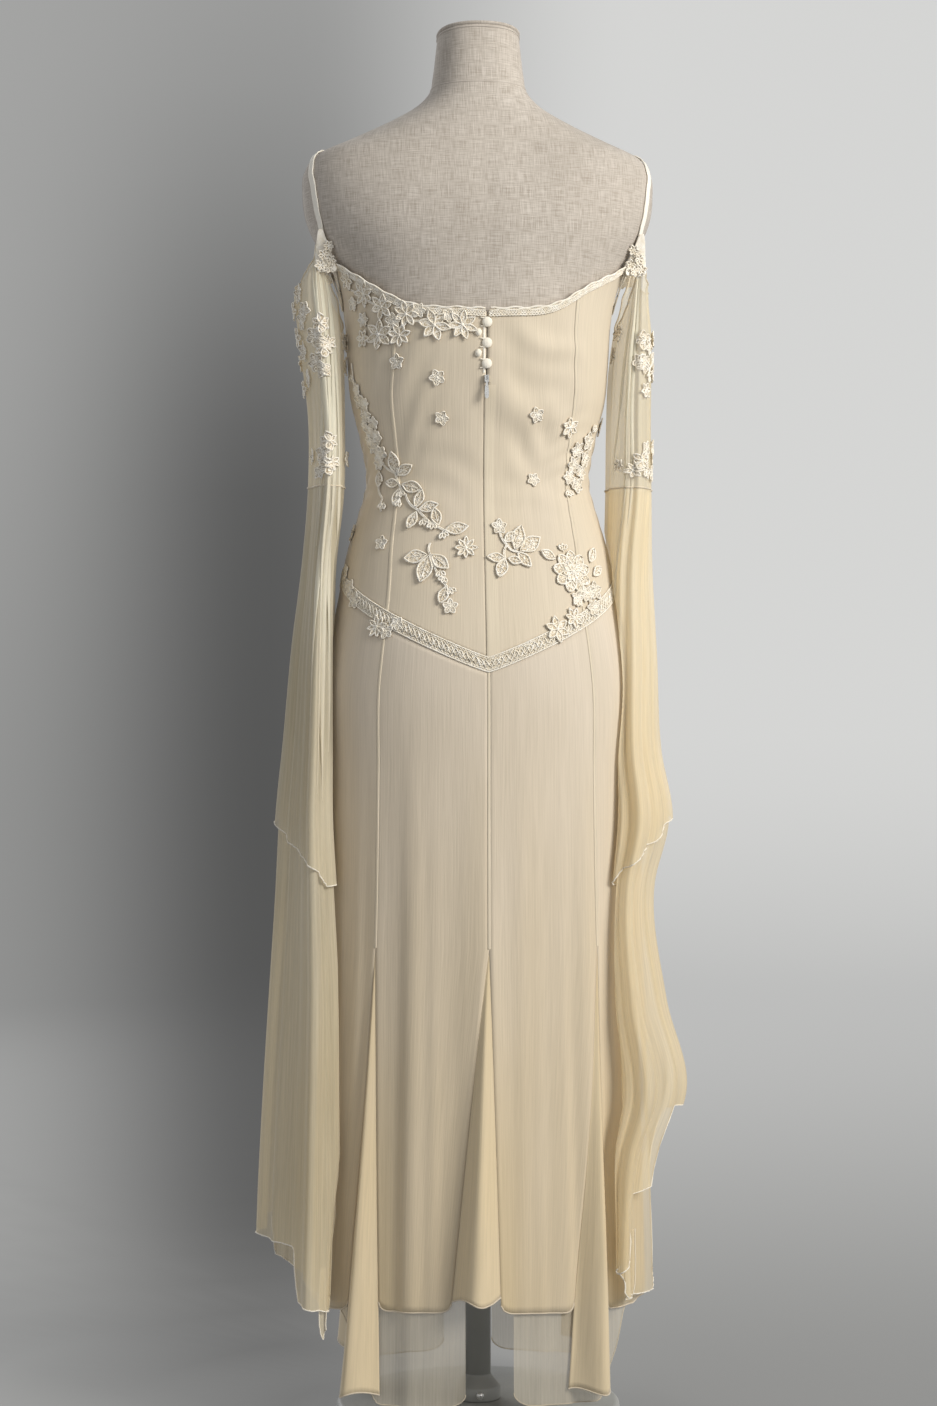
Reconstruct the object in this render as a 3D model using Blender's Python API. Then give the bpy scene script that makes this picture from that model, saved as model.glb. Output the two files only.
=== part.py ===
"""A long chiffon prom dress with cold-shoulder flounced sleeves, standing on a limbless dress form.

Metres, +Z up, the front of the dress faces -Y and the wearer's left is +X. The origin is on the floor under
the pole. An angle round the body is in degrees from the centre back, growing towards the wearer's left, so
90 is the left side, 180 the centre front and 270 the right side.
"""

import math

import bpy
import numpy as np
from mathutils import Vector
from mathutils.bvhtree import BVHTree
from mathutils.geometry import delaunay_2d_cdt

MM = 0.001
SEAM_GAP = 0.3 * MM  # between two pieces that are sewn together

# The dress form and its stand.
BASE_RADIUS = 150 * MM
BASE_HEIGHT = 14 * MM
POLE_RADIUS = 13.5 * MM
COLLAR_RADIUS = 24 * MM
COLLAR_HEIGHT = 26 * MM
FORM_BOTTOM = 0.700
NECK_TOP = 1.454
NECK_CAP_HEIGHT = 4 * MM
NECK_TILT = 0.125  # the neck's top rises towards the back
SECTION_POWER = 2.25  # above 2, so that a level section is a little squarer than an ellipse
BUST_HEIGHT = 1.142
BUST_RISE = 15 * MM
BUST_ANGLE = 31  # each side of the centre front
BUST_SPREAD = (17, 42 * MM)  # in angle and in height

# height, half width, depth behind the axis, depth before it, all of the form alone
FORM_RINGS = (
    (0.700, 0.1440, 0.0990, 0.0920),
    (0.730, 0.1510, 0.1090, 0.0980),
    (0.770, 0.1550, 0.1135, 0.1010),
    (0.806, 0.1500, 0.1115, 0.1010),
    (0.859, 0.1405, 0.1010, 0.1000),
    (0.910, 0.1315, 0.0890, 0.0950),
    (0.944, 0.1220, 0.0820, 0.0900),
    (0.981, 0.1130, 0.0770, 0.0850),
    (1.029, 0.1200, 0.0820, 0.0880),
    (1.071, 0.1300, 0.0900, 0.0960),
    (1.107, 0.1330, 0.0960, 0.1050),
    (1.152, 0.1360, 0.1000, 0.1100),
    (1.171, 0.1390, 0.1020, 0.1080),
    (1.193, 0.1460, 0.1030, 0.1040),
    (1.215, 0.1580, 0.1040, 0.0970),
    (1.235, 0.1720, 0.1050, 0.0910),
    (1.255, 0.1810, 0.1040, 0.0850),
    (1.285, 0.1855, 0.0980, 0.0770),
    (1.310, 0.1830, 0.0880, 0.0670),
    (1.327, 0.1700, 0.0810, 0.0590),
    (1.341, 0.1390, 0.0750, 0.0520),
    (1.359, 0.1000, 0.0680, 0.0450),
    (1.377, 0.0680, 0.0600, 0.0410),
    (1.394, 0.0520, 0.0540, 0.0390),
    (1.412, 0.0480, 0.0490, 0.0390),
    (1.436, 0.0450, 0.0450, 0.0385),
    (1.454, 0.0430, 0.0430, 0.0380),
)

# height, half width, depth behind the axis, depth before it, of the skirt's outer face below the hips
SKIRT_RINGS = (
    (0.030, 0.1790, 0.1370, 0.1300),
    (0.200, 0.1750, 0.1330, 0.1250),
    (0.400, 0.1690, 0.1270, 0.1170),
    (0.560, 0.1650, 0.1230, 0.1110),
    (0.680, 0.1640, 0.1220, 0.1090),
)
HIP_HEIGHT = 0.770
EASE = ((0.770, 8.4 * MM), (0.870, 7.0 * MM), (0.981, 4.8 * MM), (1.215, 4.6 * MM))

# The cloth.
WALL = 1.5 * MM
SHEER_WALL = 1.2 * MM
PANEL_SEAMS = (0, 40, 90, 140, 220, 270, 320, 360)
PANEL_NAMES = (
    "back_left",
    "side_back_left",
    "side_front_left",
    "front",
    "side_front_right",
    "side_back_right",
    "back_right",
)
CORNER_ANGLE = 76  # where a strap and a sleeve meet the neck edge
# angle from the centre back, height of the neck edge
NECK_EDGE = (
    (0, 1.154),
    (34, 1.163),
    (48, 1.179),
    (62, 1.197),
    (76, 1.209),
    (90, 1.172),
    (104, 1.209),
    (120, 1.197),
    (140, 1.183),
    (163, 1.176),
    (180, 1.166),
)
BAND_POINT = 0.798  # height of the hip band at its point, at the centre back and front
BAND_RISE = 87 * MM  # from that point to the side
BAND_WIDTH = 14 * MM
TRIM_WIDTH = 9 * MM
TRIM_LIFT = 0.5 * MM

# The skirt's hems and godets.
GORE_HEM = 0.130
GORE_CORNER = 9 * MM
SHEER_HEM = 0.036
SHEER_DROP = 2.0 * MM  # gap between the skirt and the sheer layer inside it
SHEER_SLIT = 6.5  # half the angle left open at the centre back and front
PETALS_OF_SHEER = (
    ("back_left", 0, 90),
    ("front_left", 90, 180),
    ("front_right", 180, 270),
    ("back_right", 270, 360),
)
GODET_TOP = 0.500
GODET_COLUMNS = 6
# name, angle, half its angle at its hem, depth of its fold at its hem, height of its hem
GODETS = (
    ("godet_back", 0, 6.5, 24 * MM, 0.146),
    ("godet_back_left", 41, 8.5, 28 * MM, 0.048),
    ("godet_front_left", 140, 8.5, 32 * MM, 0.052),
    ("godet_front_right", 220, 8.5, 32 * MM, 0.052),
    ("godet_back_right", 319, 8.5, 22 * MM, 0.050),
)
# waves round the skirt, share of the depth, phase in degrees
SKIRT_WAVES = ((7, 0.45, 20), (11, 0.35, 140), (17, 0.20, 75))
SKIRT_WAVE_DEPTH = 3.2 * MM

# The sleeves. height, centre outwards, centre backwards, half width, half depth, and how far the back edge
# leans outwards
LEFT_SLEEVE = (
    (0.080, 0.1900, 0.0350, 0.0440, 0.0900, -0.0120),
    (0.140, 0.1900, 0.0350, 0.0440, 0.0900, -0.0120),
    (0.220, 0.1880, 0.0340, 0.0440, 0.0860, -0.0120),
    (0.340, 0.1860, 0.0320, 0.0400, 0.0800, -0.0120),
    (0.450, 0.1830, 0.0300, 0.0360, 0.0740, -0.0100),
    (0.560, 0.1820, 0.0270, 0.0300, 0.0690, -0.0070),
    (0.632, 0.1822, 0.0240, 0.0260, 0.0650, -0.0060),
    (0.700, 0.1785, 0.0200, 0.0230, 0.0610, -0.0040),
    (0.816, 0.1732, 0.0130, 0.0190, 0.0550, -0.0020),
    (0.887, 0.1680, 0.0070, 0.0160, 0.0510, 0.0000),
    (0.976, 0.1602, 0.0000, 0.0178, 0.0480, 0.0000),
    (1.050, 0.1600, -0.0020, 0.0180, 0.0500, 0.0000),
    (1.100, 0.1630, -0.0020, 0.0205, 0.0500, 0.0000),
    (1.145, 0.1665, 0.0000, 0.0230, 0.0460, 0.0000),
    (1.173, 0.1690, 0.0000, 0.0235, 0.0420, 0.0000),
    (1.199, 0.1710, 0.0000, 0.0180, 0.0385, 0.0000),
    (1.222, 0.1705, 0.0000, 0.0080, 0.0350, 0.0000),
)
RIGHT_SLEEVE = (
    (0.080, 0.1500, 0.0660, 0.0260, 0.0660, -0.0200),
    (0.140, 0.1500, 0.0660, 0.0270, 0.0660, -0.0200),
    (0.220, 0.1520, 0.0620, 0.0280, 0.0660, -0.0200),
    (0.290, 0.1580, 0.0560, 0.0340, 0.0680, -0.0200),
    (0.340, 0.1720, 0.0460, 0.0400, 0.0720, -0.0200),
    (0.440, 0.1600, 0.0400, 0.0320, 0.0700, -0.0180),
    (0.560, 0.1540, 0.0320, 0.0270, 0.0660, -0.0140),
    (0.625, 0.1630, 0.0270, 0.0340, 0.0640, -0.0120),
    (0.700, 0.1585, 0.0210, 0.0280, 0.0610, -0.0110),
    (0.800, 0.1590, 0.0140, 0.0255, 0.0550, -0.0090),
    (0.900, 0.1585, 0.0070, 0.0235, 0.0510, -0.0060),
    (0.976, 0.1605, 0.0000, 0.0228, 0.0480, 0.0000),
    (1.050, 0.1610, -0.0020, 0.0220, 0.0500, 0.0000),
    (1.105, 0.1625, -0.0020, 0.0210, 0.0500, 0.0000),
    (1.145, 0.1650, 0.0000, 0.0180, 0.0460, 0.0000),
    (1.173, 0.1665, 0.0000, 0.0140, 0.0420, 0.0000),
    (1.199, 0.1685, 0.0000, 0.0110, 0.0385, 0.0000),
    (1.222, 0.1705, 0.0000, 0.0070, 0.0350, 0.0000),
)
SLEEVE_SEAM = 0.976  # the level seam where the flounces join the upper sleeve
SLEEVE_TOP = 1.220
SLEEVE_TOP_DROP = (34 * MM, 78 * MM)  # on the outer side and next to the body
FLOUNCE_INSET = 4.2 * MM  # between the outer faces of the short flounce and the long one inside it
FLOUNCE_SEAM_INSET = 1.8 * MM  # the same at the seam, where the long one is sewn in
FLOUNCE_PARTING = 0.090  # below the seam, where the full inset is reached
BODY_CLEARANCE = 4 * MM
# waves round a sleeve, share of the depth, phase in degrees
SLEEVE_WAVES = ((6, 0.60, 10), (4, 0.40, 100))
SLEEVE_WAVE_DEPTH = 5 * MM
# angle round the sleeve from its back edge, height of the hem
SHORT_HEM = ((0, 0.580), (50, 0.603), (95, 0.632), (150, 0.606), (205, 0.640), (270, 0.566), (330, 0.562))
LONG_HEM_LEFT = (
    (0, 0.136),
    (24, 0.142),
    (34, 0.196),
    (90, 0.202),
    (150, 0.210),
    (165, 0.160),
    (210, 0.140),
    (270, 0.144),
    (330, 0.131),
)
LONG_HEM_RIGHT = (
    (0, 0.168),
    (35, 0.180),
    (48, 0.244),
    (66, 0.250),
    (78, 0.330),
    (150, 0.318),
    (172, 0.150),
    (230, 0.134),
    (300, 0.142),
    (325, 0.176),
)
TIP_SPAN = 16  # degrees of the sleeve
TIP_INSET = 1.9 * MM
TIP_REACH = (44 * MM, 28 * MM)  # above and below the long flounce's hem
# side, angle round the sleeve, height of the hem it hangs from
TIPS = (("left", 340, 0.132), ("right", 48, 0.164))

# The straps and the lace at their ends.
STRAP_WIDTH = 8 * MM
STRAP_THICKNESS = 1.5 * MM
# angle, height, distance from the form, from the back corner to the top of the shoulder
STRAP_PATH = (
    (76.0, 1.2030, 6.9 * MM),
    (75.5, 1.2130, 6.8 * MM),
    (74.0, 1.2220, 4.6 * MM),
    (71.0, 1.2340, 1.5 * MM),
    (68.5, 1.2500, 0.5 * MM),
    (68.0, 1.2700, 0.4 * MM),
    (69.5, 1.2900, 0.4 * MM),
    (73.0, 1.3080, 0.4 * MM),
    (78.5, 1.3210, 0.4 * MM),
    (84.5, 1.3280, 0.4 * MM),
    (90.0, 1.3300, 0.4 * MM),
)
# height, inner edge and outer edge from the axis, of the lace triangle between strap, neck edge and sleeve
CORNER_ROWS = (
    (1.2420, 0.1660, 0.1710),
    (1.2300, 0.1615, 0.1725),
    (1.2200, 0.1570, 0.1735),
    (1.2090, 0.1530, 0.1740),
    (1.1980, 0.1500, 0.1745),
)
CORNER_LIFT = 0.60 * MM

# The buttons and the zip.
BUTTON_HEIGHTS = (1.140, 1.119, 1.098)
BUTTON_RADIUS = 5.3 * MM
BUTTON_DEPTH = 3.4 * MM
ZIP_SLIDER_HEIGHT = 1.0825
ZIP_SLIDER = (4.4 * MM, 7.5 * MM)  # width and length
ZIP_TAB = (4.6 * MM, 1.3 * MM, 19 * MM)  # width, thickness, length
ZIP_FLOOR = 1.1 * MM  # thickness of the slider under its tab
ZIP_LUG = (0.8 * MM, 3.4 * MM)  # thickness and height of the two lugs that hold the tab
ZIP_AXIS = (1.2 * MM, 1.4 * MM)  # above the slider's floor and above its lower end

# The raised lace.
APPLIQUE_LIFT = 0.80 * MM
APPLIQUE_THICKNESS = 1.3 * MM
STEM_WIDTH = 2.4  # mm
STEM_STEP = 15  # mm between the points of a stem, so that it bends with the cloth
LEAF_WIDTH = 0.46  # share of its length
PETALS = 5
PETAL_VALLEY = 0.58  # share of the flower's radius
# flowers: angle, height, radius in mm. leaves: angle and height of the leaf's foot, length in
# mm, turn from upright towards the wearer's left. stems: angle and height of both ends.
BODICE_LACE = {
    "lace_neck_left": {
        "flowers": (
            (67, 1.179, 13),
            (57, 1.166, 14),
            (48, 1.152, 15),
            (49.5, 1.128, 14),
            (37, 1.142, 14),
            (20, 1.135, 13),
            (8.5, 1.133, 13),
        ),
        "leaves": (),
        "stems": (
            (8.5, 1.133, 37, 1.142),
            (37, 1.142, 57, 1.166),
            (57, 1.166, 67, 1.179),
            (48, 1.152, 49.5, 1.128),
        ),
    },
    "lace_side_left": {
        "flowers": ((73, 1.103, 11), (66.5, 1.052, 12), (64, 1.034, 11), (62, 1.014, 12)),
        "leaves": ((64, 1.010, 24, 190),),
        "stems": ((76, 1.135, 73, 1.100), (73, 1.100, 66.5, 1.052), (66.5, 1.052, 62, 1.014)),
    },
    "lace_vine_left": {
        "flowers": ((10.5, 0.930, 8),),
        "leaves": (
            (45.5, 0.983, 22, 35),
            (45, 0.982, 21, -30),
            (45, 0.982, 19, 120),
            (37, 0.961, 21, 90),
            (37, 0.961, 20, -15),
            (26, 0.943, 21, 10),
            (27, 0.945, 20, 145),
        ),
        "stems": (
            (55, 0.996, 45, 0.982),
            (45, 0.983, 37, 0.961),
            (37, 0.961, 26, 0.943),
            (26, 0.943, 10.5, 0.930),
        ),
    },
    "lace_spray_left": {
        "flowers": ((12.4, 0.846, 9),),
        "leaves": (
            (20.2, 0.892, 20, 60),
            (20.2, 0.892, 19, -60),
            (20.2, 0.892, 20, 160),
            (16.8, 0.872, 17, -120),
        ),
        "stems": ((24, 0.914, 20, 0.891), (20, 0.891, 12.4, 0.846)),
    },
    "lace_patch_right": {
        "flowers": ((-45, 1.018, 12), (-56, 1.008, 13), (-50, 0.988, 12), (-67, 1.024, 11)),
        "leaves": (),
        "stems": ((-45, 1.018, -56, 1.008), (-56, 1.008, -67, 1.024), (-56, 1.008, -50, 0.988)),
    },
    "lace_leaves_right": {
        "flowers": ((-4.5, 0.928, 8),),
        "leaves": (
            (-12, 0.906, 23, 15),
            (-13, 0.906, 24, -35),
            (-14, 0.906, 22, -85),
            (-12, 0.905, 22, 95),
            (-12, 0.905, 22, 150),
        ),
        "stems": ((-4.5, 0.928, -13, 0.905),),
    },
    "lace_rosette_right": {
        "flowers": ((-36.5, 0.887, 20), (-35, 0.860, 10), (-46, 0.858, 13)),
        "leaves": ((-33, 0.892, 25, 60), (-34, 0.896, 22, 15), (-41, 0.894, 25, -60)),
        "stems": ((-36.5, 0.887, -35, 0.860), (-35, 0.860, -46, 0.858)),
    },
    "lace_band_right": {
        "flowers": ((-24.6, 0.826, 14), (-33, 0.838, 9)),
        "leaves": (),
        "stems": ((-24.6, 0.826, -33, 0.838),),
    },
}
# sleeve side, its columns of angles, and the height of the top and foot of the lace in each column
SLEEVE_LACE = {
    "lace_sleeve_left_upper": (
        1,
        ((-18, 1.135, 1.110), (0, 1.160, 1.088), (18, 1.158, 1.080), (36, 1.135, 1.100)),
    ),
    "lace_sleeve_left_lower": (
        1,
        ((-18, 1.012, 0.988), (0, 1.032, 0.980), (18, 1.034, 0.979), (36, 1.010, 0.990)),
    ),
    "lace_sleeve_right_upper": (
        -1,
        ((0, 1.125, 1.090), (18, 1.142, 1.068), (36, 1.140, 1.062), (54, 1.112, 1.085)),
    ),
    "lace_sleeve_right_lower": (
        -1,
        ((-18, 0.998, 0.982), (0, 1.008, 0.979), (18, 1.022, 0.979), (36, 1.032, 0.980)),
    ),
}

COLOURS = {
    "linen": ((0.52, 0.47, 0.41), 0.92, 0.0),
    "chiffon": ((0.78, 0.71, 0.54), 0.70, 0.0),
    "sheer": ((0.80, 0.74, 0.60), 0.65, 0.0),
    "lace": ((0.86, 0.80, 0.68), 0.80, 0.0),
    "metal": ((0.82, 0.81, 0.78), 0.35, 1.0),
    "paint": ((0.36, 0.37, 0.34), 0.50, 0.0),
}


def smooth_table(rows, height):
    """The other columns of a table at a height between its rows, on a smooth curve through them."""
    table = np.array(rows, float)
    heights = table[:, 0]
    slopes = np.gradient(table[:, 1:], heights, axis=0)
    h = min(max(height, heights[0]), heights[-1])
    i = int(min(max(np.searchsorted(heights, h) - 1, 0), len(heights) - 2))
    span = heights[i + 1] - heights[i]
    s = (h - heights[i]) / span
    low, high = table[i, 1:], table[i + 1, 1:]
    return (
        (2 * s**3 - 3 * s**2 + 1) * low
        + (s**3 - 2 * s**2 + s) * span * slopes[i]
        + (3 * s**2 - 2 * s**3) * high
        + (s**3 - s**2) * span * slopes[i + 1]
    )


def round_curve(rows, angle, period=None):
    """A height read from a table of angle and height, joined by smooth steps."""
    table = list(rows)
    if period:
        angle = angle % period
        table = table + [(table[0][0] + period, table[0][1])]
    for (a, low), (b, high) in zip(table, table[1:]):
        if angle <= b:
            s = max(0.0, (angle - a) / (b - a))
            return low + (high - low) * (s * s * (3 - 2 * s) * 0.5 + s * 0.5)
    return table[-1][1]


def section_point(half_width, back, front, angle):
    """A point of a level section of the body."""
    turn = math.radians(angle)
    side, depth = math.sin(turn), math.cos(turn)
    reach = back if depth > 0 else front
    power = 2 / SECTION_POWER
    return (
        math.copysign(abs(side) ** power, side) * half_width,
        math.copysign(abs(depth) ** power, depth) * reach,
    )


def bust(angle, height):
    """How far the front stands out over a plain section."""
    rise = 0.0
    for side in (-1, 1):
        across = (angle % 360 - 180 - side * BUST_ANGLE) / BUST_SPREAD[0]
        up = (height - BUST_HEIGHT) / BUST_SPREAD[1]
        rise += math.exp(-0.5 * (across * across + up * up))
    return BUST_RISE * rise


def form_point(angle, height, out=0.0):
    """A point of the dress form, or one moved outwards from it."""
    half_width, back, front = smooth_table(FORM_RINGS, height)
    extra = out + bust(angle, height)
    x, y = section_point(half_width + out, back + extra, front + extra, angle)
    return Vector((x, y, height))


def ease(height):
    """How far the dress stands off the form."""
    return float(np.interp(height, [row[0] for row in EASE], [row[1] for row in EASE]))


DRESS_RINGS = SKIRT_RINGS + tuple(
    (row[0], *(side + ease(row[0]) for side in row[1:])) for row in FORM_RINGS if row[0] >= HIP_HEIGHT
)


def godet_spread(godet, height):
    """Half the angle that a godet fills at a height, and the depth of its fold."""
    _, _, spread, depth, hem = godet
    share = (GODET_TOP - height) / (GODET_TOP - hem)
    share = max(0.0, share)
    return spread * share, depth * min(share, 1.1) ** 1.3


def angle_between(a, b):
    return (a - b + 180) % 360 - 180


def skirt_relief(angle, height, with_godets):
    """The soft waves of the skirt and the deep folds of its godets."""
    fall = min(max((0.74 - height) / 0.60, 0.0), 1.0)
    out = 0.0
    for count, share, phase in SKIRT_WAVES:
        out += SKIRT_WAVE_DEPTH * share * fall * math.sin(math.radians(count * angle + phase))
    if with_godets:
        for godet in GODETS:
            spread, depth = godet_spread(godet, height)
            near = abs(angle_between(angle, godet[1]))
            if spread > 0 and near < spread:
                out += depth * math.cos(0.5 * math.pi * near / spread) ** 1.6
    return out


def dress_base(angle, height, with_godets=True):
    half_width, back, front = smooth_table(DRESS_RINGS, height)
    swell = bust(angle, height)
    out = skirt_relief(angle, height, with_godets)
    x, y = section_point(half_width + out, back + swell + out, front + swell + out, angle)
    return Vector((x, y, height))


def moved_out(surface, angle, height, out, angle_step=0.4, height_step=1.5 * MM):
    """A surface's point, moved along its outward normal."""
    here = surface(angle, height)
    if out == 0:
        return here
    along = surface(angle + angle_step, height) - surface(angle - angle_step, height)
    up = surface(angle, height + height_step) - surface(angle, height - height_step)
    normal = up.cross(along).normalized()
    return here + normal * out


def dress(angle, height, out=0.0):
    """A point of the dress's outer face, with its godets."""
    return moved_out(dress_base, angle, height, out)


def plain_base(angle, height):
    return dress_base(angle, height, with_godets=False)


def plain_dress(angle, height, out=0.0):
    """The same without godets, for the layer inside."""
    return moved_out(plain_base, angle, height, out)


def neck_edge(angle):
    from_back = abs(angle_between(angle, 0))
    return round_curve(NECK_EDGE, from_back)


def band_middle(angle):
    """Height of the hip band's middle line: a soft V at the centre back and front."""
    from_point = min(abs(angle_between(angle, 0)), abs(angle_between(angle, 180))) / 90
    return BAND_POINT + BAND_RISE * (0.35 * from_point + 0.65 * from_point**2)


def material(name):
    found = bpy.data.materials.get(name)
    if found:
        return found
    colour, roughness, metallic = COLOURS[name]
    made = bpy.data.materials.new(name)
    made.use_nodes = True
    shader = made.node_tree.nodes["Principled BSDF"]
    shader.inputs["Base Color"].default_value = (*colour, 1)
    shader.inputs["Roughness"].default_value = roughness
    shader.inputs["Metallic"].default_value = metallic
    return made


def make_object(name, points, faces, material_name, smooth_angle=50):
    mesh = bpy.data.meshes.new(name)
    mesh.from_pydata([tuple(p) for p in points], [], faces)
    mesh.validate()
    mesh.shade_smooth()
    mesh.set_sharp_from_angle(angle=math.radians(smooth_angle))
    mesh.materials.append(material(material_name))
    made = bpy.data.objects.new(name, mesh)
    bpy.context.scene.collection.objects.link(made)
    return made


def thick_grid(name, outer, inner, closed, material_name):
    """A wall from two grids of points, in rows from top to bottom. closed joins the last column to the
    first."""
    rows, columns = len(outer), len(outer[0])
    points = [p for row in outer for p in row] + [p for row in inner for p in row]
    half = rows * columns

    def at(row, column, side):
        return side * half + row * columns + column % columns

    faces = []
    spans = columns if closed else columns - 1
    for c in range(spans):
        for r in range(rows - 1):
            faces.append((at(r, c, 0), at(r, c + 1, 0), at(r + 1, c + 1, 0), at(r + 1, c, 0)))
            faces.append((at(r, c, 1), at(r + 1, c, 1), at(r + 1, c + 1, 1), at(r, c + 1, 1)))
        faces.append((at(0, c, 0), at(0, c, 1), at(0, c + 1, 1), at(0, c + 1, 0)))
        last = rows - 1
        faces.append((at(last, c, 0), at(last, c + 1, 0), at(last, c + 1, 1), at(last, c, 1)))
    if not closed:
        end = columns - 1
        for r in range(rows - 1):
            faces.append((at(r, 0, 0), at(r + 1, 0, 0), at(r + 1, 0, 1), at(r, 0, 1)))
            faces.append((at(r, end, 0), at(r, end, 1), at(r + 1, end, 1), at(r + 1, end, 0)))
    return make_object(name, points, faces, material_name)


def steps(low, high, count):
    return [low + (high - low) * i / count for i in range(count + 1)]


def cloth_wall(name, surface, rows, thickness, material_name, out=0.0, closed=False):
    """A cloth wall whose rows, from top to bottom, are lists of angle and height."""
    outer = [[surface(a, h, out) for a, h in row] for row in rows]
    inner = [[surface(a, h, out - thickness) for a, h in row] for row in rows]
    return thick_grid(name, outer, inner, closed, material_name)


def panel_angles(low, high):
    """The columns of a panel between two seams, also used by the pieces that lie along it."""
    trim = 0.09
    angles = steps(low + trim, high - trim, max(6, round((high - low) / 6.3)))
    return sorted(set(angles + [a for a in corner_angles() if low < a < high]))


def all_angles(low, high):
    """The columns of every panel between two angles."""
    found = []
    for first, last in zip(PANEL_SEAMS, PANEL_SEAMS[1:]):
        found += [a for a in panel_angles(first, last) if low <= a <= high]
    return found


def bodice_panels():
    """The seven fitted panels, from the neck edge down to the hip band."""
    for name, low, high in zip(PANEL_NAMES, PANEL_SEAMS, PANEL_SEAMS[1:]):
        angles = panel_angles(low, high)
        heights = [[(a, neck_edge(a)) for a in angles]]
        for share in steps(0, 1, 9 if "front" in name else 7):
            row = []
            for a in angles:
                top = neck_edge(a) - TRIM_WIDTH
                foot = band_middle(a) + BAND_WIDTH / 2 + SEAM_GAP
                row.append((a, top + (foot - top) * share))
            heights.append(row)
        cloth_wall("bodice_" + name, dress, heights, WALL, "chiffon")


def corner_angles():
    return [CORNER_ANGLE, 180 - CORNER_ANGLE, 180 + CORNER_ANGLE, 360 - CORNER_ANGLE]


def neck_trim():
    """The narrow lace tape round the neck edge, open at the centre back."""
    angles = all_angles(0.35, 359.65)
    heights = [
        [(a, neck_edge(a) - SEAM_GAP) for a in angles],
        [(a, neck_edge(a) - TRIM_WIDTH) for a in angles],
    ]
    cloth_wall("neck_trim", dress, heights, SHEER_WALL, "lace", out=TRIM_LIFT + SHEER_WALL)


def hip_band():
    """The lace insertion between bodice and skirt, with its point at the centre back and front."""
    angles = all_angles(0, 360)
    heights = [
        [(a, band_middle(a) + BAND_WIDTH / 2) for a in angles],
        [(a, band_middle(a) - BAND_WIDTH / 2) for a in angles],
    ]
    cloth_wall("hip_band", dress, heights, WALL, "lace", closed=True)


def godet_at(seam):
    for godet in GODETS:
        if abs(angle_between(godet[1], seam)) < 2:
            return godet
    return None


def gore_edge(seam, height, side):
    """The angle of a gore's edge beside a seam, which leaves room for a godet. side is 1 for the gore after
    the seam and -1 for the one before it."""
    godet = godet_at(seam)
    gap = 0.09
    if godet is None:
        return seam + side * gap
    spread, _ = godet_spread(godet, height)
    gap = gap + 0.08 * min(spread, 1)
    middle = seam + angle_between(godet[1], seam) * min(max((GODET_TOP + 0.25 - height) / 0.25, 0), 1)
    return middle + side * (spread + gap)


def gore_hem(low, high, angle):
    """Hem height of a gore, with its corners rounded up."""
    reach = 4.0
    near = min(angle - low, high - angle) / reach
    lift = GORE_CORNER * (1 - math.sqrt(max(0.0, 1 - (1 - min(near, 1)) ** 2)))
    return GORE_HEM + lift + 2.5 * MM * math.sin(math.radians(3 * angle + 40))


def skirt_gores():
    for name, low, high in zip(PANEL_NAMES, PANEL_SEAMS, PANEL_SEAMS[1:]):
        angles = panel_angles(low, high)
        shares = [(a - angles[0]) / (angles[-1] - angles[0]) for a in angles]
        shares = sorted(shares + [0.03] * (low == 0) + [0.97] * (high == 360))
        hem_low, hem_high = gore_edge(low, GORE_HEM, 1), gore_edge(high, GORE_HEM, -1)
        rows = []
        for level in (0, 0.12, 0.24, 0.36, 0.58, 1):
            row = []
            for s in shares:
                top_angle = angles[0] + (angles[-1] - angles[0]) * s
                top = band_middle(top_angle) - BAND_WIDTH / 2 - SEAM_GAP
                height = top + (GODET_TOP - top) * level
                a = gore_edge(low, height, 1) * (1 - s) + gore_edge(high, height, -1) * s
                row.append((a, height))
            rows.append(row)
        for level in (0.33, 0.67, 1):
            row = []
            for s in shares:
                hem = gore_hem(hem_low, hem_high, hem_low + (hem_high - hem_low) * s)
                height = GODET_TOP + (hem - GODET_TOP) * level
                a = gore_edge(low, height, 1) * (1 - s) + gore_edge(high, height, -1) * s
                row.append((a, height))
            rows.append(row)
        cloth_wall("skirt_" + name, plain_dress, rows, WALL, "chiffon")


def godets():
    """The flared inserts, each a single deep fold that widens to its hem."""
    for godet in GODETS:
        name, middle, _, _, hem = godet
        rows = []
        top = GODET_TOP - 14 * MM
        for level in steps(0, 1, 6):
            height = top + (hem - top) * level
            spread, _ = godet_spread(godet, height)
            row = []
            for s in steps(-1, 1, GODET_COLUMNS):
                ragged = 3 * MM * math.sin(4 * s + middle) * level
                row.append((middle + s * spread, height + ragged))
            rows.append(row)
        cloth_wall(name, dress, rows, WALL, "chiffon")


def sheer_hem(low, high, angle):
    reach = 7.0
    near = min(angle - low, high - angle) / reach
    return SHEER_HEM + 14 * MM * (1 - math.sqrt(max(0.0, 1 - (1 - min(near, 1)) ** 2)))


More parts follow.
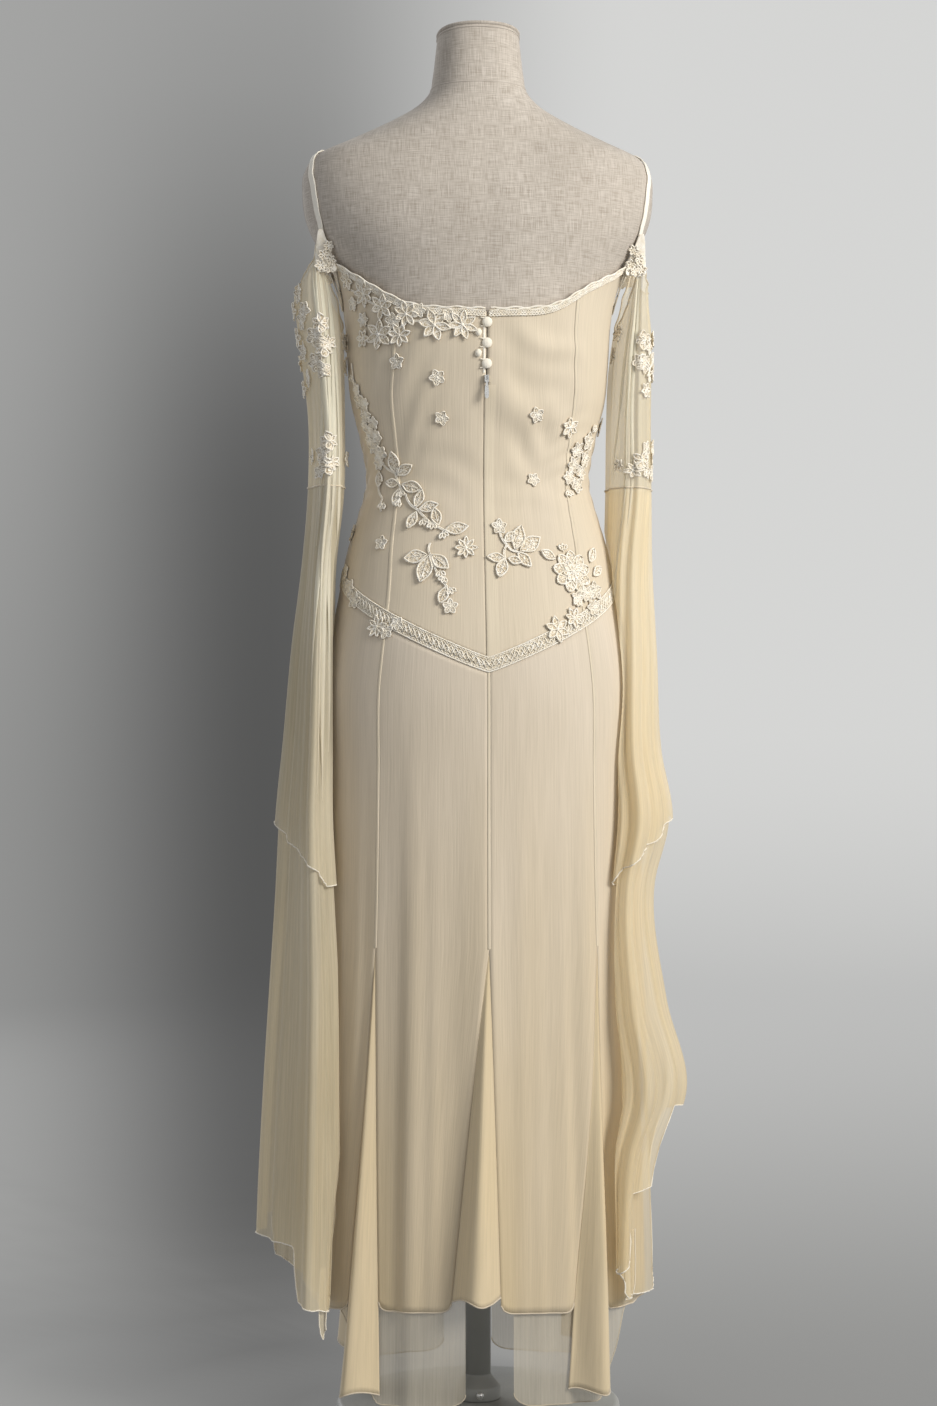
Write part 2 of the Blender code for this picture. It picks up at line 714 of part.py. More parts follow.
def sheer_layer():
    """The longer sheer layer inside the skirt, in four petals that part at the centre back and front."""
    for name, low, high in PETALS_OF_SHEER:
        rows = []
        for level in (0, 0.06, 0.13, 0.23, 0.5, 0.8, 1):
            row = []
            for s in (0, 0.05, 0.17, 0.33, 0.5, 0.67, 0.83, 0.95, 1):
                flat = low + (high - low) * s
                top = band_middle(flat) - BAND_WIDTH / 2 - 8 * MM
                open_share = min(max((0.70 - (top + (SHEER_HEM - top) * level)) / 0.4, 0), 1)
                slit = 0.25 + (SHEER_SLIT - 0.25) * open_share
                first = low + (slit if low in (0, 180) else 0.1)
                last = high - (slit if high in (180, 360) else 0.1)
                a = first + (last - first) * s
                hem = sheer_hem(first if low in (0, 180) else -99, last if high in (180, 360) else 999, a)
                row.append((a, top + (hem - top) * level))
            rows.append(row)
        cloth_wall("sheer_" + name, plain_dress, rows, SHEER_WALL, "sheer", out=-WALL - SHEER_DROP)


def sleeve_base(side, angle, height, inset):
    """A point of a sleeve's outer face. angle runs from the sleeve's back edge round its outer side."""
    table = LEFT_SLEEVE if side > 0 else RIGHT_SLEEVE
    centre_out, centre_back, half_width, half_depth, lean = smooth_table(table, height)
    if inset > FLOUNCE_SEAM_INSET:
        parted = min(max((SLEEVE_SEAM - height) / FLOUNCE_PARTING, 0.0), 1.0)
        inset = FLOUNCE_SEAM_INSET + (inset - FLOUNCE_SEAM_INSET) * parted
    fall = min(max((SLEEVE_SEAM - height) / 0.55, 0.0), 1.0)
    out = 0.0
    for count, share, phase in SLEEVE_WAVES:
        out += SLEEVE_WAVE_DEPTH * share * fall * math.sin(math.radians(count * angle + phase + 25 * side))
    turn = math.radians(angle)
    x = centre_out + (half_width + out - inset) * math.sin(turn) + lean * math.cos(turn)
    y = centre_back + (half_depth + out - inset) * math.cos(turn)
    body_width, body_back, body_front = smooth_table(DRESS_RINGS, height)
    body_depth = body_back if y > 0 else body_front
    across = (abs(x) / body_width) ** (SECTION_POWER / 2)
    along = (abs(y) / body_depth) ** (SECTION_POWER / 2)
    from_back = math.degrees(math.atan2(across, math.copysign(along, y)))
    relief = max(skirt_relief(side * from_back + near, height, True) for near in (-7, -4, -2, 0, 2, 4, 7))
    clearance = BODY_CLEARANCE + inset + max(relief, 0)
    inside = (abs(x) / (body_width + clearance)) ** SECTION_POWER
    inside += (abs(y) / (body_depth + clearance)) ** SECTION_POWER
    if inside < 1:
        grow = inside ** (-1 / SECTION_POWER)
        x, y = x * grow, y * grow
    return Vector((side * x, y, height))


def sleeve_surface(side, inset=0.0):
    def surface(angle, height, out=0.0):
        here = sleeve_base(side, angle, height, inset)
        if out == 0:
            return here
        along = sleeve_base(side, angle + 2, height, inset) - sleeve_base(side, angle - 2, height, inset)
        above = sleeve_base(side, angle, height + 1.5 * MM, inset)
        up = above - sleeve_base(side, angle, height - 1.5 * MM, inset)
        normal = up.cross(along).normalized() * side
        return here + normal * out

    return surface


def sleeve_tube(name, side, columns, row_heights, inset=0.0):
    """A tube of a sleeve. row_heights(angle) gives a column's heights from top to bottom."""
    surface = sleeve_surface(side, inset)
    angles = [360 * i / columns for i in range(columns)]
    if side < 0:
        angles = [360 - a for a in angles]
    stacks = [row_heights(a) for a in angles]
    rows = [[(a, stack[r]) for a, stack in zip(angles, stacks)] for r in range(len(stacks[0]))]
    return cloth_wall(name, surface, rows, SHEER_WALL, "sheer", closed=True)


def upper_sleeve_top(angle):
    """The top edge, highest at the back and front corners, lower outside and next to the body."""
    across = math.sin(math.radians(angle))
    drop = SLEEVE_TOP_DROP[0] if across > 0 else SLEEVE_TOP_DROP[1]
    return SLEEVE_TOP - drop * abs(across) ** 1.4


def upper_sleeve_rows(angle):
    return steps(upper_sleeve_top(angle), SLEEVE_SEAM + SEAM_GAP, 4)


def short_flounce_rows(angle):
    return steps(SLEEVE_SEAM, round_curve(SHORT_HEM, angle, 360), 4)


def long_flounce_rows(angle, hem):
    """The same heights as the short flounce's as far as its hem, then on down."""
    upper = short_flounce_rows(angle)
    return upper + steps(upper[-1], round_curve(hem, angle, 360), 3)[1:]


def sleeves():
    for name, side, long_hem in (("left", 1, LONG_HEM_LEFT), ("right", -1, LONG_HEM_RIGHT)):
        sleeve_tube("sleeve_upper_" + name, side, 20, upper_sleeve_rows)
        sleeve_tube("flounce_short_" + name, side, 30, short_flounce_rows)
        sleeve_tube(
            "flounce_long_" + name,
            side,
            30,
            lambda angle, hem=long_hem: long_flounce_rows(angle, hem),
            inset=FLOUNCE_INSET,
        )


def remove_everything():
    for old in list(bpy.data.objects):
        bpy.data.objects.remove(old)


def closed_rings(name, rings, material_name, smooth_angle=50):
    """A solid skinned over level rings from bottom to top, with flat ends."""
    count = len(rings[0])
    points = [p for ring in rings for p in ring]
    faces = []
    for r in range(len(rings) - 1):
        for c in range(count):
            n = (c + 1) % count
            faces.append((r * count + c, r * count + n, (r + 1) * count + n, (r + 1) * count + c))
    top = (len(rings) - 1) * count
    faces.append(tuple(reversed(range(count))))
    faces.append(tuple(top + c for c in range(count)))
    return make_object(name, points, faces, material_name, smooth_angle)


def round_ring(radius, height, count):
    turns = [2 * math.pi * i / count for i in range(count)]
    return [Vector((radius * math.cos(turn), radius * math.sin(turn), height)) for turn in turns]


def dress_form():
    """The linen torso with its neck, closed below the hips."""
    heights = [0.700, 0.712, 0.735, 0.770, 0.815, 0.860, 0.895, 0.920, 0.941, 0.961, 0.981]
    heights += [1.002, 1.025, 1.050, 1.075, 1.098, 1.120, 1.142, 1.165, 1.190, 1.215, 1.235]
    heights += [1.255, 1.285, 1.310, 1.322, 1.330, 1.341, 1.359, 1.377, 1.394, 1.412, NECK_TOP]
    angles = [360 - 360 * i / 24 for i in range(24)]
    rings = []
    for height in heights:
        tuck = 10 * MM * max(0.0, 1 - (height - FORM_BOTTOM) / (12 * MM))
        rings.append([form_point(a, height, -tuck) for a in angles])
    rings[-1] = [Vector((p.x, p.y, p.z + NECK_TILT * p.y)) for p in rings[-1]]
    closed_rings("form_torso", rings, "linen")
    rim = rings[-1][::2]
    rings = []
    for lift, grow in ((SEAM_GAP, 1.0), (0.6 * NECK_CAP_HEIGHT, 1.02), (NECK_CAP_HEIGHT, 0.95)):
        ring = [p * grow for p in rim]
        rings.append([Vector((p.x, p.y, NECK_TOP + lift + NECK_TILT * p.y)) for p in ring])
    closed_rings("form_neck_cap", rings, "linen", 70)


def stand():
    bevel = 4 * MM
    rings = [
        round_ring(BASE_RADIUS, 0, 36),
        round_ring(BASE_RADIUS, BASE_HEIGHT - bevel, 36),
        round_ring(BASE_RADIUS - bevel, BASE_HEIGHT, 36),
    ]
    closed_rings("stand_base", rings, "paint")
    foot = BASE_HEIGHT + SEAM_GAP
    neck = foot + COLLAR_HEIGHT
    rings = [
        round_ring(COLLAR_RADIUS, foot, 20),
        round_ring(COLLAR_RADIUS, foot + COLLAR_HEIGHT * 0.5, 20),
        round_ring(POLE_RADIUS + 2 * MM, neck, 20),
        round_ring(POLE_RADIUS, neck + 0.5 * MM, 20),
        round_ring(POLE_RADIUS, FORM_BOTTOM - SEAM_GAP, 20),
    ]
    closed_rings("stand_pole", rings, "paint")


def ribbon(name, path, normals, width, thickness, material_name):
    """A flat tape along a path, lying on its inner face."""
    outer, inner = [], []
    for i, (p, normal) in enumerate(zip(path, normals)):
        along = path[min(i + 1, len(path) - 1)] - path[max(i - 1, 0)]
        across = along.cross(normal).normalized() * (width / 2)
        inner.append([p - across, p + across])
        lifted = p + normal * thickness
        outer.append([lifted - across, lifted + across])
    return thick_grid(name, outer, inner, False, material_name)


def form_normal(angle, height):
    along = form_point(angle + 1, height) - form_point(angle - 1, height)
    up = form_point(angle, height + 1 * MM) - form_point(angle, height - 1 * MM)
    return up.cross(along).normalized()


def straps():
    """The two tapes over the shoulders, from the back corners to the front ones."""
    path = list(STRAP_PATH) + [(180 - a, h, out) for a, h, out in reversed(STRAP_PATH[:-1])]
    for name, side in (("left", 1), ("right", -1)):
        points, normals = [], []
        for angle, height, out in path:
            normal = form_normal(angle, height)
            point = form_point(angle, height) + normal * out
            points.append(Vector((side * point.x, point.y, point.z)))
            normals.append(Vector((side * normal.x, normal.y, normal.z)))
        if side < 0:
            points.reverse()
            normals.reverse()
        ribbon("strap_" + name, points, normals, STRAP_WIDTH, STRAP_THICKNESS, "lace")


def tree_of(names):
    """A search tree over the named pieces, for laying something on them."""
    points, faces = [], []
    for name in names:
        mesh = bpy.data.objects[name].data
        first = len(points)
        points += [v.co.copy() for v in mesh.vertices]
        faces += [[first + i for i in face.vertices] for face in mesh.polygons]
    return BVHTree.FromPolygons(points, faces)


def resting_depth(tree, x, height, facing, gap):
    """How far back, or forward, a small plate at a place has to stand to clear what is behind it."""
    for reach in (4 * MM, 9 * MM):
        found = []
        for dx in steps(-reach, reach, 4):
            for dz in steps(-reach, reach, 4):
                origin = Vector((x + dx, facing * 0.2, height + dz))
                hit = tree.ray_cast(origin, Vector((0, -facing, 0)))[0]
                if hit is not None:
                    found.append(hit.y * facing)
        if found:
            return max(found) + gap
    raise ValueError(f"nothing behind x {x:.3f}, height {height:.3f}")


def corner_lace():
    """Four lace triangles, each over the meeting of strap, neck edge and sleeve."""
    for name, side in (("left", 1), ("right", -1)):
        tree = tree_of(["strap_" + name, "sleeve_upper_" + name, "neck_trim"])
        for end, facing in (("back", 1), ("front", -1)):
            outer, inner = [], []
            for height, low, high in CORNER_ROWS:
                columns = [high, (low + high) / 2, low]
                if side * facing < 0:
                    columns.reverse()
                depths = [resting_depth(tree, side * x, height, facing, CORNER_LIFT) for x in columns]
                inner.append([Vector((side * x, facing * d, height)) for x, d in zip(columns, depths)])
                outer.append([p + Vector((0, facing * SHEER_WALL, 0)) for p in inner[-1]])
            outer = [list(reversed(row)) for row in outer]
            inner = [list(reversed(row)) for row in inner]
            thick_grid("lace_corner_" + name + "_" + end, outer, inner, False, "lace")


def turned(profile, origin, axis, count):
    """A solid of revolution round an axis. profile lists distance along it and radius, from foot to tip."""
    side = axis.cross(Vector((0, 0, 1))).normalized()
    up = side.cross(axis).normalized()
    rings = []
    for along, radius in profile:
        ring = []
        for i in range(count):
            turn = 2 * math.pi * i / count
            ring.append(origin + axis * along + (side * math.cos(turn) - up * math.sin(turn)) * radius)
        rings.append(ring)
    return rings


def buttons():
    """Covered buttons down the centre back, standing on the two back panels."""
    tree = tree_of(["bodice_back_left", "bodice_back_right"])
    for number, height in enumerate(BUTTON_HEIGHTS, 1):
        normal = (dress(0, height, 1 * MM) - dress(0, height)).normalized()
        foot = Vector((0, resting_depth(tree, 0, height, 1, SEAM_GAP), height))
        profile = [
            (0, 0.72 * BUTTON_RADIUS),
            (0.3 * BUTTON_DEPTH, BUTTON_RADIUS),
            (0.62 * BUTTON_DEPTH, 0.93 * BUTTON_RADIUS),
            (BUTTON_DEPTH, 0.45 * BUTTON_RADIUS),
        ]
        closed_rings(f"button_{number}", turned(profile, foot, normal, 8), "chiffon", 35)


def prism(name, outline, low, high, material_name):
    """A flat outline, counter-clockwise seen from the high end, between the places that low and high give."""
    rings = [[low(u, v) for u, v in outline], [high(u, v) for u, v in outline]]
    return closed_rings(name, rings, material_name, 30)


def zip_pieces():
    """The slider at the foot of the back opening, and the pull tab that hangs between its two lugs."""
    half_width, length = ZIP_SLIDER[0] / 2, ZIP_SLIDER[1]
    lug, lug_height = ZIP_LUG
    back = dress(0, ZIP_SLIDER_HEIGHT + length / 2).y + 2 * SEAM_GAP
    outline = (
        (-half_width, 0),
        (half_width, 0),
        (half_width, lug_height),
        (half_width - lug, lug_height),
        (half_width - lug, ZIP_FLOOR),
        (-half_width + lug, ZIP_FLOOR),
        (-half_width + lug, lug_height),
        (-half_width, lug_height),
    )
    foot = ZIP_SLIDER_HEIGHT - length / 2
    prism(
        "zip_slider",
        outline,
        lambda u, v: Vector((u, back + v, foot)),
        lambda u, v: Vector((u, back + v, foot + length)),
        "metal",
    )
    axis_depth = back + ZIP_FLOOR + ZIP_AXIS[0]
    axis_height = foot + ZIP_AXIS[1]
    wide, thick, long = ZIP_TAB[0] / 2, ZIP_TAB[1], ZIP_TAB[2]
    neck = half_width - lug - 0.35 * MM
    side = [(neck, 0.04), (neck, -0.15), (0.75 * wide, -0.3), (wide, -0.66), (0.8 * wide, -0.88)]
    side = [(u, v * long) for u, v in side + [(0.3 * wide, -0.96)]]
    outline = [(-u, v) for u, v in side] + [(u, v) for u, v in reversed(side)]
    tab = prism(
        "zip_tab",
        outline,
        lambda u, v: Vector((-u, -thick / 2, v)),
        lambda u, v: Vector((-u, thick / 2, v)),
        "metal",
    )
    tab.location = (0, axis_depth, axis_height)


def sleeve_tips():
    """The narrow rounded end that hangs below each long flounce, from inside it."""
    for name, middle, hem in TIPS:
        side = 1 if name == "left" else -1
        surface = sleeve_surface(side, FLOUNCE_INSET)
        rows = []
        for level, spread in ((0, 0.8), (0.45, 1), (0.8, 0.95), (1, 0.45)):
            height = hem + TIP_REACH[0] - level * sum(TIP_REACH)
            columns = [middle + side * spread * TIP_SPAN * s for s in (-0.5, 0, 0.5)]
            rows.append([(a, height) for a in columns])
        cloth_wall("sleeve_tip_" + name, surface, rows, SHEER_WALL, "sheer", out=-SHEER_WALL - TIP_INSET)


def flower_outline(radius):
    points = []
    for i in range(2 * PETALS):
        turn = math.pi * i / PETALS
        reach = radius * (1 if i % 2 == 0 else PETAL_VALLEY)
        points.append((reach * math.sin(turn), reach * math.cos(turn)))
    return points


def leaf_outline(length, turn):
    half = LEAF_WIDTH * length / 2
    right = [(half, 0.35 * length), (0.7 * half, 0.7 * length)]
    shape = [(0, 0)] + right + [(0, length)] + [(-u, v) for u, v in reversed(right)]
    c, s = math.cos(math.radians(turn)), math.sin(math.radians(turn))
    return [(u * c + v * s, v * c - u * s) for u, v in shape]


def stem_outline(reach):
    length = math.hypot(*reach)
    along = (reach[0] / length, reach[1] / length)
    side = (-along[1] * STEM_WIDTH / 2, along[0] * STEM_WIDTH / 2)
    stops = steps(0, 1, max(1, round(length / STEM_STEP)))
    there = [(reach[0] * s - side[0], reach[1] * s - side[1]) for s in stops]
    back = [(reach[0] * s + side[0], reach[1] * s + side[1]) for s in reversed(stops)]
    return there + back


def mm_per_degree(surface, angle, height):
    return (surface(angle + 1, height) - surface(angle - 1, height)).length / 2 / MM


def lace_shapes(surface, motifs):
    """The outlines of a patch of lace, as lists of angle and height."""
    shapes = []

    def add(angle, height, outline):
        scale = mm_per_degree(surface, angle, height)
        shapes.append([(angle + u / scale, height + v * MM) for u, v in outline])

    for angle, height, radius in motifs["flowers"]:
        add(angle, height, flower_outline(radius))
    for angle, height, length, turn in motifs["leaves"]:
        add(angle, height, leaf_outline(length, turn))
    for angle, height, far_angle, far_height in motifs["stems"]:
        scale = mm_per_degree(surface, (angle + far_angle) / 2, height)
        add(angle, height, stem_outline(((far_angle - angle) * scale, (far_height - height) / MM)))
    return shapes


def on_cloth(surface, tree, angle, height, out):
    """A point at a distance from the cloth that is really there, flat faces and all."""
    start = surface(angle, height, 12 * MM)
    there = surface(angle, height)
    inwards = (there - start).normalized()
    hit, _, _, distance = tree.ray_cast(start, inwards, 15 * MM)
    if hit is None or distance > 13.5 * MM:
        hit = there
    return hit - inwards * out


def lace_patch(name, surface, tree, shapes):
    """One thick piece of lace, in the joined outline of its shapes, lying on the cloth. Each shape's middle
    is a point too, so that the piece bends with the cloth."""
    scale = 1 / MM
    middle = sum(a for shape in shapes for a, _ in shape) / sum(len(shape) for shape in shapes)
    height = sum(h for shape in shapes for _, h in shape) / sum(len(shape) for shape in shapes)
    stretch = mm_per_degree(surface, middle, height)
    flat, loops = [], []
    for shape in shapes:
        corners = [Vector((a * stretch, h * scale)) for a, h in shape]
        area = sum(p.x * q.y - q.x * p.y for p, q in zip(corners, corners[1:] + corners[:1]))
        if area < 0:
            corners.reverse()
        loops.append(list(range(len(flat), len(flat) + len(corners))))
        flat += corners
        if len(corners) in (6, 2 * PETALS):
            flat.append(sum(corners, Vector((0, 0))) / len(corners))
    points, _, triangles, _, _, sources = delaunay_2d_cdt(flat, [], loops, 1, 0.02, True)
    triangles = [list(t) for t, from_shapes in zip(triangles, sources) if from_shapes]
    edges = {}
    for t in triangles:
        for a, b in zip(t, t[1:] + t[:1]):
            edges[(a, b)] = edges.get((a, b), 0) + 1
    border = [e for e in edges if (e[1], e[0]) not in edges]
    places = [(p.x / stretch, p.y / scale) for p in points]
    low = [on_cloth(surface, tree, a, h, APPLIQUE_LIFT) for a, h in places]
    high = [on_cloth(surface, tree, a, h, APPLIQUE_LIFT + APPLIQUE_THICKNESS) for a, h in places]
    used = sorted({i for t in triangles for i in t})
    index = {old: new for new, old in enumerate(used)}
    count = len(used)
    body = [low[i] for i in used] + [high[i] for i in used]
    faces = []
    for t in triangles:
        a, b, c = (index[i] for i in t)
        faces.append((a, b, c))
        faces.append((count + c, count + b, count + a))
    for a, b in border:
        a, b = index[a], index[b]
        faces.append((b, a, count + a, count + b))
    return make_object(name, body, faces, "lace", 30)


def sleeve_lace(name, side, tree, columns):
    """A strip of lace bent round the back edge of a sleeve, on the sleeve's own columns."""
    surface = sleeve_surface(side)
    if side < 0:
        columns = list(reversed(columns))
    sides = []
    for out in (APPLIQUE_LIFT + APPLIQUE_THICKNESS, APPLIQUE_LIFT):
        rows = []
        for level in steps(0, 1, 3):
            places = [(a, top + (foot - top) * level) for a, top, foot in columns]
            rows.append([on_cloth(surface, tree, a, h, out) for a, h in places])
        sides.append(rows)
    thick_grid(name, *sides, False, "lace")


def lace():
    """The raised lace on the bodice and the sleeves."""
    panels = [o.name for o in bpy.data.objects if o.name.startswith(("bodice_", "skirt_", "hip_band"))]
    tree = tree_of(panels)
    for name, motifs in BODICE_LACE.items():
        lace_patch(name, dress, tree, lace_shapes(dress, motifs))
    for name, (side, columns) in SLEEVE_LACE.items():
        tree = tree_of(["sleeve_upper_" + ("left" if side > 0 else "right")])
        sleeve_lace(name, side, tree, columns)


def main():
    remove_everything()
    dress_form()
    stand()
    bodice_panels()
    neck_trim()
    hip_band()
    skirt_gores()
    godets()
    sheer_layer()
    sleeves()
    straps()
    corner_lace()
    buttons()
    zip_pieces()
    sleeve_tips()
    lace()


main()
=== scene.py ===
"""Looks for a long cream chiffon prom dress on a linen dress form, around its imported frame.

Metres, +Z up, the front of the dress faces -Y and the wearer's left is +X. An angle round the body is in
degrees from the centre back, growing towards the wearer's left, so 180 is the centre front.
"""

import math

import bpy
import numpy as np
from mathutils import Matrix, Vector
from mathutils.bvhtree import BVHTree


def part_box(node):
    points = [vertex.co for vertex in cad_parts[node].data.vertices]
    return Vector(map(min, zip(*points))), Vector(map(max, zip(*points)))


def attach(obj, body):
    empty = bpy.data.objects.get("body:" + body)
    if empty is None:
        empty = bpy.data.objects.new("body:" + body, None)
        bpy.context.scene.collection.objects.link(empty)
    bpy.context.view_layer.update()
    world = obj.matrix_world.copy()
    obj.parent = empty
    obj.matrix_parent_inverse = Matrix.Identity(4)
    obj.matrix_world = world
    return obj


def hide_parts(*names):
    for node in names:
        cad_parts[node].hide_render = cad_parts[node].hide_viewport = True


MM = 0.001

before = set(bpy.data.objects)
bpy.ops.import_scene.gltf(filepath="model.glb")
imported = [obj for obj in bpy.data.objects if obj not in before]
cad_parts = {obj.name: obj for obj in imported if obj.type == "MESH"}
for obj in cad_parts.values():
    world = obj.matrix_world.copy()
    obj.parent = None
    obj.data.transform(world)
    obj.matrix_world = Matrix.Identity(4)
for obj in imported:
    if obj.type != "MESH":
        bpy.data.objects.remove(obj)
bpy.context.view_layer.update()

# The shapes below repeat the part's own formulas and tables, so that each piece lies where its solid is.
# A few, such as the hip band's V, are moved by up to about 15 mm to be closer to the real dress.

FORM_BOTTOM = 0.700
NECK_TOP = 1.454
NECK_TILT = 0.125  # the neck's top rises towards the back
SECTION_POWER = 2.25
BUST_HEIGHT = 1.142
BUST_RISE = 15 * MM
BUST_ANGLE = 31
BUST_SPREAD = (17, 42 * MM)
# height, half width, depth behind the axis, depth before it, of the form alone
FORM_RINGS = (
    (0.700, 0.1440, 0.0990, 0.0920),
    (0.730, 0.1510, 0.1090, 0.0980),
    (0.770, 0.1550, 0.1135, 0.1010),
    (0.806, 0.1500, 0.1115, 0.1010),
    (0.859, 0.1405, 0.1010, 0.1000),
    (0.910, 0.1315, 0.0890, 0.0950),
    (0.944, 0.1220, 0.0820, 0.0900),
    (0.981, 0.1130, 0.0770, 0.0850),
    (1.029, 0.1200, 0.0820, 0.0880),
    (1.071, 0.1300, 0.0900, 0.0960),
    (1.107, 0.1330, 0.0960, 0.1050),
    (1.152, 0.1360, 0.1000, 0.1100),
    (1.171, 0.1390, 0.1020, 0.1080),
    (1.193, 0.1460, 0.1030, 0.1040),
    (1.215, 0.1580, 0.1040, 0.0970),
    (1.235, 0.1720, 0.1050, 0.0910),
    (1.255, 0.1810, 0.1040, 0.0850),
    (1.285, 0.1855, 0.0980, 0.0770),
    (1.310, 0.1830, 0.0880, 0.0670),
    (1.327, 0.1700, 0.0810, 0.0590),
    (1.341, 0.1390, 0.0750, 0.0520),
    (1.359, 0.1000, 0.0680, 0.0450),
    (1.377, 0.0680, 0.0600, 0.0410),
    (1.394, 0.0520, 0.0540, 0.0390),
    (1.412, 0.0480, 0.0490, 0.0390),
    (1.436, 0.0450, 0.0450, 0.0385),
    (1.454, 0.0430, 0.0430, 0.0380),
)
# the same of the skirt's outer face below the hips
SKIRT_RINGS = (
    (0.030, 0.1790, 0.1370, 0.1300),
    (0.200, 0.1750, 0.1330, 0.1250),
    (0.400, 0.1690, 0.1270, 0.1170),
    (0.560, 0.1650, 0.1230, 0.1110),
    (0.680, 0.1640, 0.1220, 0.1090),
)
HIP_HEIGHT = 0.770
EASE = ((0.770, 8.4 * MM), (0.870, 7.0 * MM), (0.981, 4.8 * MM), (1.215, 4.6 * MM))

WALL = 1.5 * MM
SHEER_WALL = 1.2 * MM
PANEL_SEAMS = (0, 40, 90, 140, 220, 270, 320, 360)
PANEL_NAMES = (
    "back_left",
    "side_back_left",
    "side_front_left",
    "front",
    "side_front_right",
    "side_back_right",
    "back_right",
)
# angle from the centre back, height of the neck edge
NECK_EDGE = (
    (0, 1.154),
    (34, 1.163),
    (48, 1.179),
    (62, 1.197),
    (76, 1.209),
    (90, 1.172),
    (104, 1.209),
    (120, 1.197),
    (140, 1.183),
    (163, 1.176),
    (180, 1.166),
)
BAND_POINT = 0.789
BAND_RISE = 96 * MM
BAND_WIDTH = 14 * MM
BAND_CURVE = 0.22
TRIM_WIDTH = 9 * MM
TRIM_LIFT = 0.5 * MM
# the neck edge stands higher right of the centre back: how much, at which angle, over how many degrees
NECK_RISE = 8 * MM
NECK_RISE_ANGLE = -44
NECK_RISE_SPREAD = 17

GORE_HEM = 0.130
GORE_CORNER = 9 * MM
GORE_CORNER_SPAN = 4.0
GORE_RIPPLE = 2.5 * MM
SHEER_HEM = 0.036
SHEER_DROP = 2.0 * MM
SHEER_SLIT = 6.5
SHEER_PETALS = (
    ("back_left", 0, 90),
    ("front_left", 90, 180),
    ("front_right", 180, 270),
    ("back_right", 270, 360),
)
GODET_TOP = 0.500
# name, angle, half its angle at its hem, depth of its fold at its hem, height of its hem
GODETS = (
    ("godet_back", 0, 6.5, 24 * MM, 0.146),
    ("godet_back_left", 41, 8.5, 28 * MM, 0.048),
    ("godet_front_left", 140, 8.5, 32 * MM, 0.052),
    ("godet_front_right", 220, 8.5, 32 * MM, 0.052),
    ("godet_back_right", 319, 8.5, 22 * MM, 0.050),
)
# waves round the skirt, share of the depth, phase in degrees
SKIRT_WAVES = ((7, 0.45, 20), (11, 0.35, 140), (17, 0.20, 75))
SKIRT_WAVE_DEPTH = 3.2 * MM
# the height where the skirt's waves begin, and over how much of its length they grow
SKIRT_WAVE_TOP = 0.74
SKIRT_WAVE_FADE = 0.60

# height, centre outwards, centre backwards, half width, half depth, outward lean of the back edge
LEFT_SLEEVE = (
    (0.080, 0.1900, 0.0350, 0.0440, 0.0900, -0.0120),
    (0.140, 0.1900, 0.0350, 0.0440, 0.0900, -0.0120),
    (0.220, 0.1880, 0.0340, 0.0440, 0.0860, -0.0120),
    (0.340, 0.1860, 0.0320, 0.0400, 0.0800, -0.0120),
    (0.450, 0.1830, 0.0300, 0.0360, 0.0740, -0.0100),
    (0.560, 0.1820, 0.0270, 0.0300, 0.0690, -0.0070),
    (0.632, 0.1822, 0.0240, 0.0260, 0.0650, -0.0060),
    (0.700, 0.1785, 0.0200, 0.0230, 0.0610, -0.0040),
    (0.816, 0.1732, 0.0130, 0.0190, 0.0550, -0.0020),
    (0.887, 0.1680, 0.0070, 0.0160, 0.0510, 0.0000),
    (0.976, 0.1602, 0.0000, 0.0178, 0.0480, 0.0000),
    (1.050, 0.1600, -0.0020, 0.0180, 0.0500, 0.0000),
    (1.100, 0.1630, -0.0020, 0.0205, 0.0500, 0.0000),
    (1.145, 0.1665, 0.0000, 0.0230, 0.0460, 0.0000),
    (1.173, 0.1690, 0.0000, 0.0235, 0.0420, 0.0000),
    (1.199, 0.1710, 0.0000, 0.0180, 0.0385, 0.0000),
    (1.222, 0.1705, 0.0000, 0.0080, 0.0350, 0.0000),
)
RIGHT_SLEEVE = (
    (0.080, 0.1500, 0.0660, 0.0260, 0.0660, -0.0200),
    (0.140, 0.1500, 0.0660, 0.0270, 0.0660, -0.0200),
    (0.220, 0.1520, 0.0620, 0.0280, 0.0660, -0.0200),
    (0.290, 0.1580, 0.0560, 0.0340, 0.0680, -0.0200),
    (0.340, 0.1720, 0.0460, 0.0400, 0.0720, -0.0200),
    (0.440, 0.1600, 0.0400, 0.0320, 0.0700, -0.0180),
    (0.560, 0.1540, 0.0320, 0.0270, 0.0660, -0.0140),
    (0.625, 0.1630, 0.0270, 0.0340, 0.0640, -0.0120),
    (0.700, 0.1585, 0.0210, 0.0280, 0.0610, -0.0110),
    (0.800, 0.1590, 0.0140, 0.0255, 0.0550, -0.0090),
    (0.900, 0.1585, 0.0070, 0.0235, 0.0510, -0.0060),
    (0.976, 0.1605, 0.0000, 0.0228, 0.0480, 0.0000),
    (1.050, 0.1610, -0.0020, 0.0220, 0.0500, 0.0000),
    (1.105, 0.1625, -0.0020, 0.0210, 0.0500, 0.0000),
    (1.145, 0.1650, 0.0000, 0.0180, 0.0460, 0.0000),
    (1.173, 0.1665, 0.0000, 0.0140, 0.0420, 0.0000),
    (1.199, 0.1685, 0.0000, 0.0110, 0.0385, 0.0000),
    (1.222, 0.1705, 0.0000, 0.0070, 0.0350, 0.0000),
)
SLEEVE_SEAM = 0.976
SLEEVE_TOP = 1.220
SLEEVE_TOP_DROP = (34 * MM, 78 * MM)
FLOUNCE_INSET = 4.2 * MM
FLOUNCE_SEAM_INSET = 1.8 * MM
